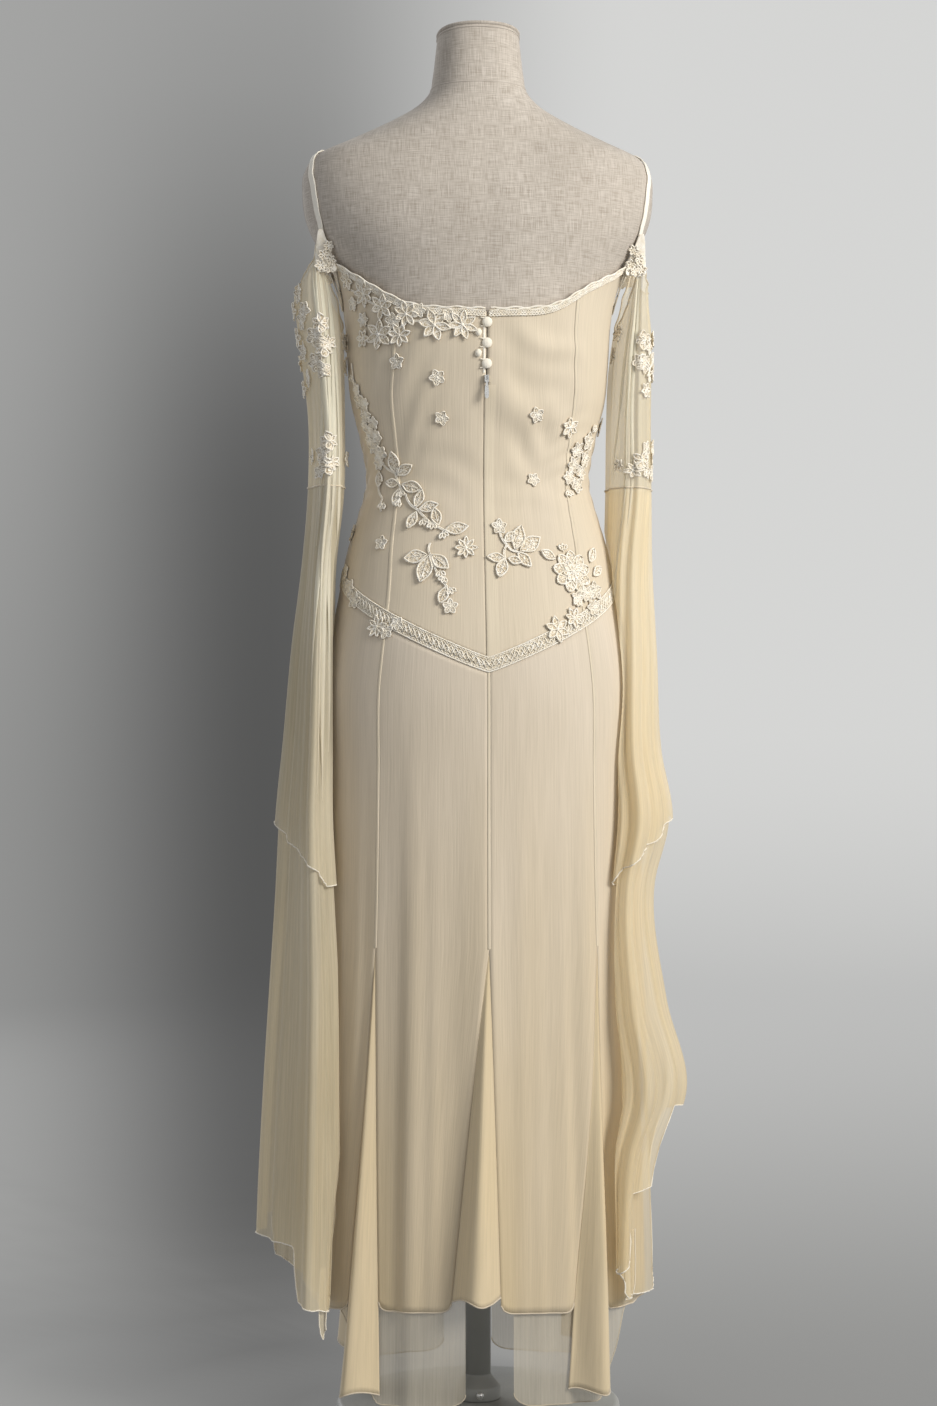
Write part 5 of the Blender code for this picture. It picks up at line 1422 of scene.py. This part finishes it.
# The motifs of each patch of raised lace. stars and flowers: angle, height, radius in mm. leaves: angle and
# height of the foot, length in mm, turn from upright. buds: angle, height, turn. stems: angle and height of
# both ends.
BODICE_LACE = {
    "lace_neck_left": {
        "stars": (
            (68, 1.190, 11), (57, 1.173, 14), (46, 1.158, 14), (33, 1.149, 14), (20, 1.137, 17),
            (8.5, 1.137, 16), (49, 1.130, 17), (37, 1.128, 13), (61, 1.128, 10),
        ),
        "flowers": ((40, 1.142, 9), (60, 1.147, 8), (68, 1.165, 8), (27, 1.152, 8), (14, 1.146, 7)),
        "stems": ((8.5, 1.133, 37, 1.142), (37, 1.142, 57, 1.166), (57, 1.166, 67, 1.179)),
    },
    "lace_side_left": {
        "flowers": (
            (70, 1.066, 9), (66, 1.050, 9), (60, 1.041, 7), (66, 1.034, 8), (59, 1.026, 7),
            (65, 1.018, 9), (58, 1.010, 8), (62, 1.000, 8), (71, 1.077, 7), (64, 1.062, 6),
            (70, 1.040, 6), (61, 1.030, 5), (68, 1.024, 6), (60, 1.008, 5),
        ),
        "leaves": ((63, 0.992, 18, 185),),
        "buds": ((76, 1.085, 10), (54, 0.958, 170)),
        "stems": ((76, 1.105, 70, 1.066), (63, 0.978, 56, 0.962), (56, 0.962, 54, 0.948)),
    },
    "lace_vine_left": {
        "leaves": (
            (48, 0.987, 24, 5), (47, 0.986, 20, -60), (43, 0.976, 23, -105), (45, 0.977, 17, 85),
            (44, 0.972, 18, 170), (32, 0.951, 19, -15), (30, 0.949, 20, -75), (31, 0.947, 19, 160),
            (19, 0.932, 20, 20), (16, 0.927, 23, -80),
        ),
        "buds": ((22, 0.936, 175), (42, 0.960, 150), (17, 0.926, 200), (43, 0.970, 190), (27, 0.940, 200)),
        "stems": (
            (60, 1.002, 48, 0.988), (48, 0.988, 39, 0.964), (39, 0.964, 30, 0.948), (30, 0.948, 15, 0.925),
        ),
    },
    "lace_spray_left": {
        "leaves": ((23, 0.902, 25, 100), (22, 0.901, 29, 165), (21, 0.902, 23, -130), (14, 0.869, 19, 160)),
        "flowers": ((12.5, 0.848, 8),),
        "buds": ((17, 0.886, 190), (13, 0.868, 205), (15, 0.880, 160)),
        "stems": ((22, 0.914, 21, 0.900), (21, 0.900, 14, 0.868)),
    },
    "lace_patch_right": {
        "flowers": (
            (-62, 1.024, 10), (-52, 1.014, 9), (-62, 1.006, 9), (-50, 0.998, 9), (-59, 0.992, 9),
            (-47, 0.984, 8), (-54, 0.977, 9),
        ),
        "stars": ((-42, 1.036, 11),),
        "buds": ((-66, 1.034, -20), (-45, 0.972, 190)),
    },
    "lace_leaves_right": {
        "leaves": (
            (-10, 0.907, 27, -20), (-12, 0.906, 28, -60), (-11, 0.905, 20, -140), (-6, 0.915, 16, -50),
            (-6, 0.898, 17, 85), (-6, 0.898, 21, 160), (-7, 0.898, 15, -105),
        ),
        "flowers": ((-4.5, 0.931, 8),),
        "stems": ((-4.5, 0.929, -7, 0.912), (-7, 0.912, -6, 0.898), (-7, 0.912, -11, 0.905)),
    },
    "lace_rosette_right": {
        "flowers": ((-49, 0.866, 10), (-43, 0.862, 9), (-37, 0.858, 7), (-46, 0.848, 9)),
        "leaves": ((-28, 0.898, 17, 60), (-49, 0.896, 18, -35), (-50, 0.882, 17, -55)),
        "buds": ((-33, 0.906, 5), (-37, 0.857, 170)),
        "stems": ((-36.5, 0.887, -46, 0.860),),
    },
    "lace_band_right": {"stars": ((-24.8, 0.825, 14), (-33.5, 0.837, 11))},
}
ROSETTE = (-36.5, 0.885, 22)
# single small flowers on the back: angle, height, radius in mm
SINGLE_FLOWERS = (
    (39, 1.101, 8.5), (19, 1.084, 8.5), (18, 1.043, 7.5), (48.7, 0.915, 7.5), (-21, 1.047, 8),
    (-22.5, 0.981, 7), (87, 0.928, 9), (79, 0.886, 9), (69, 0.870, 9), (62, 0.856, 9), (39, 0.823, 8),
    (34, 0.831, 7), (-87, 1.043, 10),
)
SINGLE_STARS = ((7, 0.909, 12), (44, 0.828, 12))
# flowers on the sleeves, for each side and part: the number of the first, which sets its kind and its turn,
# then each one's angle round the sleeve, height and radius in mm. The loose ones stand for no solid.
SLEEVE_FLOWERS = (
    ("left", "upper", 0, (
        (4, 1.144, 11), (20, 1.130, 11), (2, 1.118, 10), (24, 1.104, 10), (-10, 1.124, 9),
        (8, 1.096, 9),
    )),
    ("left", "lower", 6, (
        (2, 1.022, 10), (18, 1.010, 10), (4, 0.996, 10), (26, 0.990, 8), (-10, 1.000, 8),
    )),
    ("left", "loose", 21, (
        (62, 1.178, 11), (84, 1.162, 11), (58, 1.150, 12), (82, 1.134, 12), (66, 1.118, 11),
        (92, 1.108, 10), (60, 1.090, 10), (82, 1.080, 10), (40, 1.160, 9), (-68, 1.128, 11),
        (-78, 1.104, 10), (-72, 1.006, 9), (62, 1.008, 9),
    )),
    ("right", "upper", 11, (
        (18, 1.130, 11), (36, 1.124, 10), (22, 1.106, 11), (40, 1.096, 10), (8, 1.108, 9),
        (26, 1.078, 9),
    )),
    ("right", "lower", 17, (
        (30, 1.016, 10), (14, 1.004, 10), (30, 0.994, 9), (-4, 0.994, 9),
    )),
    ("right", "loose", 34, (
        (66, 1.134, 10), (84, 1.112, 11), (62, 1.098, 10), (70, 1.010, 10), (88, 1.022, 9),
        (58, 0.992, 9), (-58, 1.140, 10), (-70, 1.118, 9), (-40, 1.000, 7),
    )),
)


def build_bodice_lace():
    for name, motifs in BODICE_LACE.items():
        lace = Lace(dress)
        for i, (angle, height, radius) in enumerate(motifs.get("stars", ())):
            lace.star(angle, height, radius, petals=6 + i % 2, turn=17 * i + 9)
        for i, (angle, height, radius) in enumerate(motifs.get("flowers", ())):
            lace.flower(angle, height, radius, petals=5 + i % 2, turn=29 * i)
        for angle, height, length, turn in motifs.get("leaves", ()):
            lace.leaf(angle, height, length, turn)
        for angle, height, turn in motifs.get("buds", ()):
            lace.buds(angle, height, turn)
        for ends in motifs.get("stems", ()):
            lace.stem(*ends)
        if name == "lace_rosette_right":
            lace.rosette(*ROSETTE)
        lace.made(name + "_work", name)
    lace = Lace(dress, 0.5)
    for i, (angle, height, radius) in enumerate(SINGLE_FLOWERS):
        lace.flower(angle, height, radius, turn=23 * i)
    for i, (angle, height, radius) in enumerate(SINGLE_STARS):
        lace.star(angle, height, radius, petals=8, turn=11 * i)
    lace.made("lace_single_flowers")


def build_sleeve_lace():
    for name, part, first, flowers in SLEEVE_FLOWERS:
        lace = Lace(sleeve_surface(1 if name == "left" else -1))
        for i, (angle, height, radius) in enumerate(flowers, first):
            if i % 2:
                lace.flower(angle, height, radius, turn=31 * i)
            else:
                lace.star(angle, height, radius, petals=6, turn=31 * i)
        strip = f"lace_sleeve_{name}_{part}"
        lace.made(strip + "_work", *([] if part == "loose" else [strip]))


# cords of the lace tapes: share of the tape's width, wave as a share of it, its length in mm and phase in
# turns, then the cord's radius and lift in mm
NECK_CORDS = (
    (0.94, 0.08, 23, 0.0, 1.1, 0.5),
    (0.74, 0.08, 23, 0.4, 0.8, 0.4),
    (0.54, 0.13, 5, 0.0, 0.5, 0.3),
    (0.54, 0.13, 5, 0.5, 0.5, 0.3),
    (0.30, 0.05, 3.2, 0.0, 0.7, 0.3),
    (0.10, 0.05, 3.2, 0.5, 0.7, 0.3),
)
HIP_CORDS = (
    (0.96, 0.00, 9, 0.0, 0.8, 0.3),
    (0.84, 0.05, 3.5, 0.0, 0.5, 0.3),
    (0.50, 0.26, 11, 0.0, 0.8, 0.6),
    (0.50, 0.26, 11, 0.5, 0.7, 0.5),
    (0.50, 0.10, 11, 0.25, 0.5, 0.3),
    (0.16, 0.05, 3.5, 0.5, 0.5, 0.3),
    (0.04, 0.00, 9, 0.0, 0.8, 0.3),
)


def edging(name, angles, low, high, out, node, lines, net, closed=False):
    """A lace tape: a backing of net with cords worked along it."""
    a, level = np.meshgrid(angles, np.linspace(1, 0, 5))
    heights = low + (high - low) * level
    points = dress(a, heights, out)
    uvs = np.stack([lengths_along(points, 1), points[..., 2]], -1)
    tape = grid_object(name + "_net", points, uvs, net, closed)
    run = uvs[2, :, 0]
    cords = Bundle()
    for share, wave, length, phase, radius, lift in lines:
        waved = share + wave * np.sin(2 * np.pi * (run / (length * MM) + phase))
        path = dress(angles, low + (high - low) * waved, out + lift * MM)
        # long waves need fewer points
        cords.tube(path if length < 8 else path[::3], radius * MM, CORD_SIDES, closed)
    worked = cords.made(name + "_cords", guipure)
    join_to(tape, "lace", node)
    join_to(worked, "lace")
    length = float(run[-1])
    width = float(lengths_along(points, 0)[-1].max())


def build_edgings():
    angles = np.linspace(0.5, 359.5, 1500)
    top = neck_edge(angles)
    out = TRIM_LIFT + 0.6 * MM
    edging("neck_lace", angles, top - TRIM_WIDTH, top, out, "neck_trim", NECK_CORDS, net_lace)
    angles = np.linspace(0, 360, 1501)[:-1]
    low, high = band_middle(angles) - BAND_WIDTH / 2 - 1 * MM, band_middle(angles) + BAND_WIDTH / 2 + 1 * MM
    edging("hip_lace", angles, low, high, 0.35 * MM, "hip_band", HIP_CORDS, band_lace, closed=True)


# half widths across a strap's tape and heights on it, as shares of its half width and thickness
STRAP_PROFILE = (
    (-1, 0.1), (-0.98, 0.75), (-0.80, 1.0), (-0.62, 0.92), (-0.4, 0.98), (0, 1.0),
    (0.4, 0.98), (0.62, 0.92), (0.80, 1.0), (0.98, 0.75), (1, 0.1), (0, 0.0),
)


def build_straps():
    path = list(STRAP_PATH) + [(180 - a, h, out) for a, h, out in reversed(STRAP_PATH[:-1])]
    table = np.array(path)
    s = np.linspace(0, len(path) - 1, 90)
    angles, heights, outs = [np.interp(s, np.arange(len(path)), table[:, k]) for k in range(3)]
    for name, side in (("left", 1), ("right", -1)):
        here = form_point(angles, heights, outs)
        above = form_point(angles, heights, outs + 1 * MM)
        normals = (above - here) / MM
        along = np.gradient(here, axis=0)
        across = np.cross(along, normals)
        across /= np.linalg.norm(across, axis=-1, keepdims=True)
        rows = []
        for wide, thick in STRAP_PROFILE:
            rows.append(here + across * (wide * STRAP_WIDTH / 2) + normals * (thick * STRAP_THICKNESS))
        points = np.stack(rows, axis=1) * [side, 1, 1]
        if side > 0:
            points = points[:, ::-1]
        run = lengths_along(points, 0)
        uvs = np.stack([points[..., 2] * 0 + np.linspace(0, 0.02, points.shape[1]), run], -1)
        tape = grid_object("strap_tape_" + name, points, uvs, satin, closed=True)
        join_to(tape, "lace", "strap_" + name)


# small flowers on a lace corner: share of its width from the body, share of its height, radius in mm
CORNER_FLOWERS = (
    (0.30, 0.88, 5.5), (0.40, 0.62, 6), (0.62, 0.42, 6.5),
    (0.30, 0.30, 6), (0.75, 0.16, 6.5), (0.42, 0.10, 6),
)


def plane_at(place, normal):
    """A flat surface for lace at a place, across in mm and up in metres."""
    place, facing = np.array(place), np.array(normal)
    across = np.cross(facing, [0.0, 0.0, 1.0])
    across /= np.linalg.norm(across)
    rise = np.cross(across, facing)

    def surface(along, up, out=0.0):
        along, up, out = np.broadcast_arrays(along, up, out)
        return place + across * (along[..., None] * MM) + rise * up[..., None] + facing * out[..., None]

    return surface


def build_corners():
    """The lace at the meeting of strap, neck edge and sleeve, on the solids' own rows."""
    for side in ("left", "right"):
        for end in ("back", "front"):
            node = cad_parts[f"lace_corner_{side}_{end}"]
            mesh = node.data.copy()
            piece = bpy.data.objects.new(f"corner_lace_{side}_{end}", mesh)
            bpy.context.scene.collection.objects.link(piece)
            mesh.materials.clear()
            mesh.materials.append(guipure)
            weld = piece.modifiers.new("weld", "WELD")
            weld.merge_threshold = 0.01 * MM
            smooth = piece.modifiers.new("smooth", "SUBSURF")
            smooth.levels = smooth.render_levels = 2
            join_to(piece, "lace", node.name)
            low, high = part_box(node.name)
            facing = 1 if end == "back" else -1
            vertices, polygons = node.data.vertices, node.data.polygons
            solid = BVHTree.FromPolygons([v.co for v in vertices], [p.vertices for p in polygons])
            work = Lace(None, 0.2)
            for i, (across, up, radius) in enumerate(CORNER_FLOWERS):
                x = low.x + (high.x - low.x) * (across if side == "left" else 1 - across)
                z = low.z + (high.z - low.z) * up
                hit, normal, _, _ = solid.ray_cast(Vector((x, facing * 0.5, z)), Vector((0, -facing, 0)))
                if hit is None:
                    continue
                work.surface = plane_at(hit, normal)
                work.star(0, 0, radius, petals=6, turn=25 * i)
            if work.parts.count:
                work.made(f"corner_flowers_{side}_{end}")


# share of a button's depth, share of its radius
BUTTON_PROFILE = (
    (0, 0.55), (0.08, 0.80), (0.2, 0.95), (0.38, 1.0), (0.6, 0.93), (0.8, 0.72), (0.94, 0.40), (1, 0.03),
)
BUTTON_POINTS = 32
# the strip lapped over the zip, across it: angle, rise in mm
ZIP_LAP = ((0.45, -0.4), (0.47, 0.5), (0.25, 0.95), (-0.15, 0.9), (-1.2, 0.55), (-2.6, 0.15), (-4.2, -0.3))
DRESS_SCALE = 2.05  # mm for each degree at the buttons


def build_buttons():
    """Covered buttons, with their loops and worked knots between them and a cord down to the zip."""
    turn = 2 * np.pi * np.arange(BUTTON_POINTS) / BUTTON_POINTS
    for number in range(1, len(BUTTON_HEIGHTS) + 1):
        low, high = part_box(f"button_{number}")
        middle_x, middle_z, depth = (low.x + high.x) / 2, (low.z + high.z) / 2, high.y - low.y
        rows = []
        for share, reach in BUTTON_PROFILE:
            ripple = 1 + 0.02 * np.cos(8 * turn) * (share < 0.3)
            x = middle_x + BUTTON_RADIUS * reach * ripple * np.sin(turn)
            z = middle_z + BUTTON_RADIUS * reach * ripple * np.cos(turn)
            rows.append(stacked(x, low.y + depth * share, z))
        points = np.array(rows[::-1])
        button = grid_object(f"covered_button_{number}", points, points[..., [0, 2]], satin, closed=True)
        join_to(button, "chiffon", f"button_{number}")
    loops = Bundle()
    turn = np.linspace(-0.5 * np.pi, 0.5 * np.pi, 14)
    for height in BUTTON_HEIGHTS:
        a = 1.1 + (4.6 / DRESS_SCALE) * np.cos(turn) * 0.9
        loops.tube(dress(-a + 3.0, height + 4.4 * MM * np.sin(turn), 1.1 * MM), 0.7 * MM)
    s = np.linspace(0, 1, 12)
    for height, next_height in zip(BUTTON_HEIGHTS, BUTTON_HEIGHTS[1:]):
        path = dress(2.6 + 0 * s, (height + next_height) / 2 + 8.4 * MM * (0.5 - s), 0.4 * MM)
        loops.tube(path, 3.6 * MM * np.sqrt(np.maximum(np.sin(np.pi * s), 0.003)), 12)
    level = np.linspace(float(neck_edge(0)) - 2 * MM, ZIP_SLIDER_HEIGHT + 6 * MM, 60)
    ridge(loops, dress, np.full(60, 0.75), level, 1.3 * MM, 0.2 * MM, 0.6)
    join_to(loops.made("button_loops", satin), "chiffon")


def build_zip():
    """The strip lapped over the zip, the zip's slider and its tab."""
    level = np.linspace(ZIP_SLIDER_HEIGHT - 6 * MM, float(band_middle(0)) + BAND_WIDTH / 2, 150)
    a, heights = np.meshgrid([place for place, _ in ZIP_LAP], level)
    points = dress(a, heights, np.array([[rise * MM for _, rise in ZIP_LAP]]) + 0 * heights)
    uvs = np.stack([lengths_along(points, 1), points[..., 2]], -1)
    strip = join_to(grid_object("zip_lap", points, uvs, seam_cloth), "chiffon")
    width, length = float(uvs[:, -1, 0].max()), float(lengths_along(points, 0)[-1].max())
    for name in ("zip_slider", "zip_tab"):
        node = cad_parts[name]
        node.data.materials.clear()
        node.data.materials.append(metal)
        bevel = node.modifiers.new("soft_edges", "BEVEL")
        bevel.width = 0.15 * MM
        bevel.segments = 2
        bevel.limit_method = "ANGLE"
        bevel.harden_normals = False


# The studio

CAMERA_PLACE = (0.2615, 2.9886, 0.75)
CAMERA_LENS = 72.5
CAMERA_SIDE_STEP = 10 * MM
AIM_SINE, AIM_COSINE = 0.087, 0.996
SWEEP_FLOOR = 4.6
SWEEP_CURVE = 1.9
SWEEP_GLOW = 0.64
SWEEP_HEIGHT = 5.0
WORLD_COLOUR = (0.95, 0.97, 1.0, 1)
WORLD_POWER = 0.36
# name, place, what it is aimed at, width and height, power, colour
LIGHTS = (
    ("window", (-2.4, 2.2, 2.3), (0, 0, 1.25), (1.4, 1.7), 135, (1.0, 0.98, 0.935)),
    ("fill", (2.4, 2.6, 1.5), (0, 0, 0.8), (2.0, 2.4), 10, (0.95, 0.97, 1.0)),
    ("front", (1.6, -2.9, 2.0), (0, 0, 0.9), (2.0, 2.0), 34, (0.98, 0.98, 1.0)),
)


def painted_studio_light(points):
    """How pale the studio is painted at each place: painted light on the window's side, painted dimness
    across from it, with a long soft painted shadow of the form beside it."""
    x, y, z = np.moveaxis(points, -1, 0)
    right, near = CAMERA_PLACE[0] - x, CAMERA_PLACE[1] - y
    ahead = right * AIM_SINE + near * AIM_COSINE
    aside = right * AIM_COSINE - near * AIM_SINE
    far = np.maximum(ahead, 0.3)
    across, up = aside / far, (z - CAMERA_PLACE[2]) / far
    pale = 0.78 - 0.52 * between(-up, 0.0, 0.26)
    dim = 0.36 + 0.08 * between(up, -0.05, 0.15)
    shadow = 0.70 * np.exp(-0.5 * ((across + 0.072) / 0.047) ** 2)
    shadow = shadow * (1 - 0.85 * between(up, 0.06, 0.27)) * (1 - 0.45 * between(-up, 0.17, 0.26))
    window_side = between(across, -0.06, 0.06)
    painted_light_and_shade = dim * (1 - shadow) * (1 - window_side) + pale * window_side
    return 0.5 + (painted_light_and_shade - 0.5) * between(ahead, 0.5, 2.5)


def build_studio():
    """A round sweep of floor and wall, painted with light on the window's side and the form's long shadow. It
    glows a little, so that it stays even from every side.
    """
    look = Look("studio_sweep", 0.95, specular=0.1)
    painted_light_and_shade = look.node("ShaderNodeAttribute", attribute_name="painted_light_and_shade").outputs["Color"]
    look.colour(look.mixed(1.0, painted_light_and_shade, (0.45, 0.45, 0.445), "MULTIPLY"))
    # the painted light and shadow glow as well as colour the sweep
    look.tree.links.new(painted_light_and_shade, look.shader.inputs["Emission Color"])
    look.shader.inputs["Emission Strength"].default_value = SWEEP_GLOW
    profile = [(r, 0.0) for r in np.linspace(0.02, SWEEP_FLOOR, 26)]
    for turn in np.linspace(0, 90, 14)[1:]:
        across, down = math.sin(math.radians(turn)), math.cos(math.radians(turn))
        profile.append((SWEEP_FLOOR + SWEEP_CURVE * across, SWEEP_CURVE - SWEEP_CURVE * down))
    wall = SWEEP_FLOOR + SWEEP_CURVE
    profile += [(wall, z) for z in np.linspace(SWEEP_CURVE + 0.3, SWEEP_HEIGHT, 10)]
    turns = np.radians(np.concatenate([np.arange(-30, 20, 0.5), np.arange(20, 330, 4)]))
    rows = [[(r * math.sin(turn), -r * math.cos(turn), z) for turn in turns] for r, z in profile]
    points = np.array(rows)
    sweep = grid_object("studio_sweep", points, None, look.material, closed=True)
    painted_tones = sweep.data.color_attributes.new("painted_light_and_shade", "FLOAT_COLOR", "POINT")
    grey = painted_studio_light(points)[..., None] * np.array([1.0, 1.0, 0.985])
    colours = np.concatenate([grey, np.ones_like(grey[..., :1])], axis=-1)
    painted_tones.data.foreach_set("color", colours.astype(np.float32).ravel())
    sweep.visible_diffuse = sweep.visible_shadow = sweep.visible_glossy = False


def area_light(name, place, aim, size, power, colour):
    data = bpy.data.lights.new(name, "AREA")
    data.shape = "RECTANGLE"
    data.size, data.size_y = size
    data.energy = power
    data.color = colour
    light = bpy.data.objects.new(name, data)
    light.location = place
    light.rotation_euler = (Vector(aim) - Vector(place)).to_track_quat("-Z", "Y").to_euler()
    light.visible_camera = False
    bpy.context.scene.collection.objects.link(light)


def build_lights():
    for light in LIGHTS:
        area_light(*light)
    world = bpy.data.worlds.new("soft_room")
    world.use_nodes = True
    background = world.node_tree.nodes["Background"]
    background.inputs[0].default_value = WORLD_COLOUR
    background.inputs[1].default_value = WORLD_POWER
    bpy.context.scene.world = world
    bpy.context.scene.view_settings.view_transform = "Standard"


def build_camera():
    data = bpy.data.cameras.new("photo_view")
    data.lens = CAMERA_LENS
    data.sensor_width = 36
    camera = bpy.data.objects.new("photo_view", data)
    level_aim = Vector((-CAMERA_PLACE[0], -CAMERA_PLACE[1], 0))
    camera.rotation_euler = level_aim.to_track_quat("-Z", "Y").to_euler()
    sideways = level_aim.cross(Vector((0, 0, 1))).normalized()
    camera.location = Vector(CAMERA_PLACE) - sideways * CAMERA_SIDE_STEP
    bpy.context.scene.collection.objects.link(camera)
    bpy.context.scene.camera = camera


build_camera()
build_form()
build_stand()
build_bodice()
build_skirt()
build_sheer_layer()
build_straps()
build_sleeve("left", 1, LONG_HEM_LEFT)
build_sleeve("right", -1, LONG_HEM_RIGHT)
build_tips()
build_edgings()
build_bodice_lace()
build_sleeve_lace()
build_corners()
build_buttons()
build_zip()
build_studio()
build_lights()
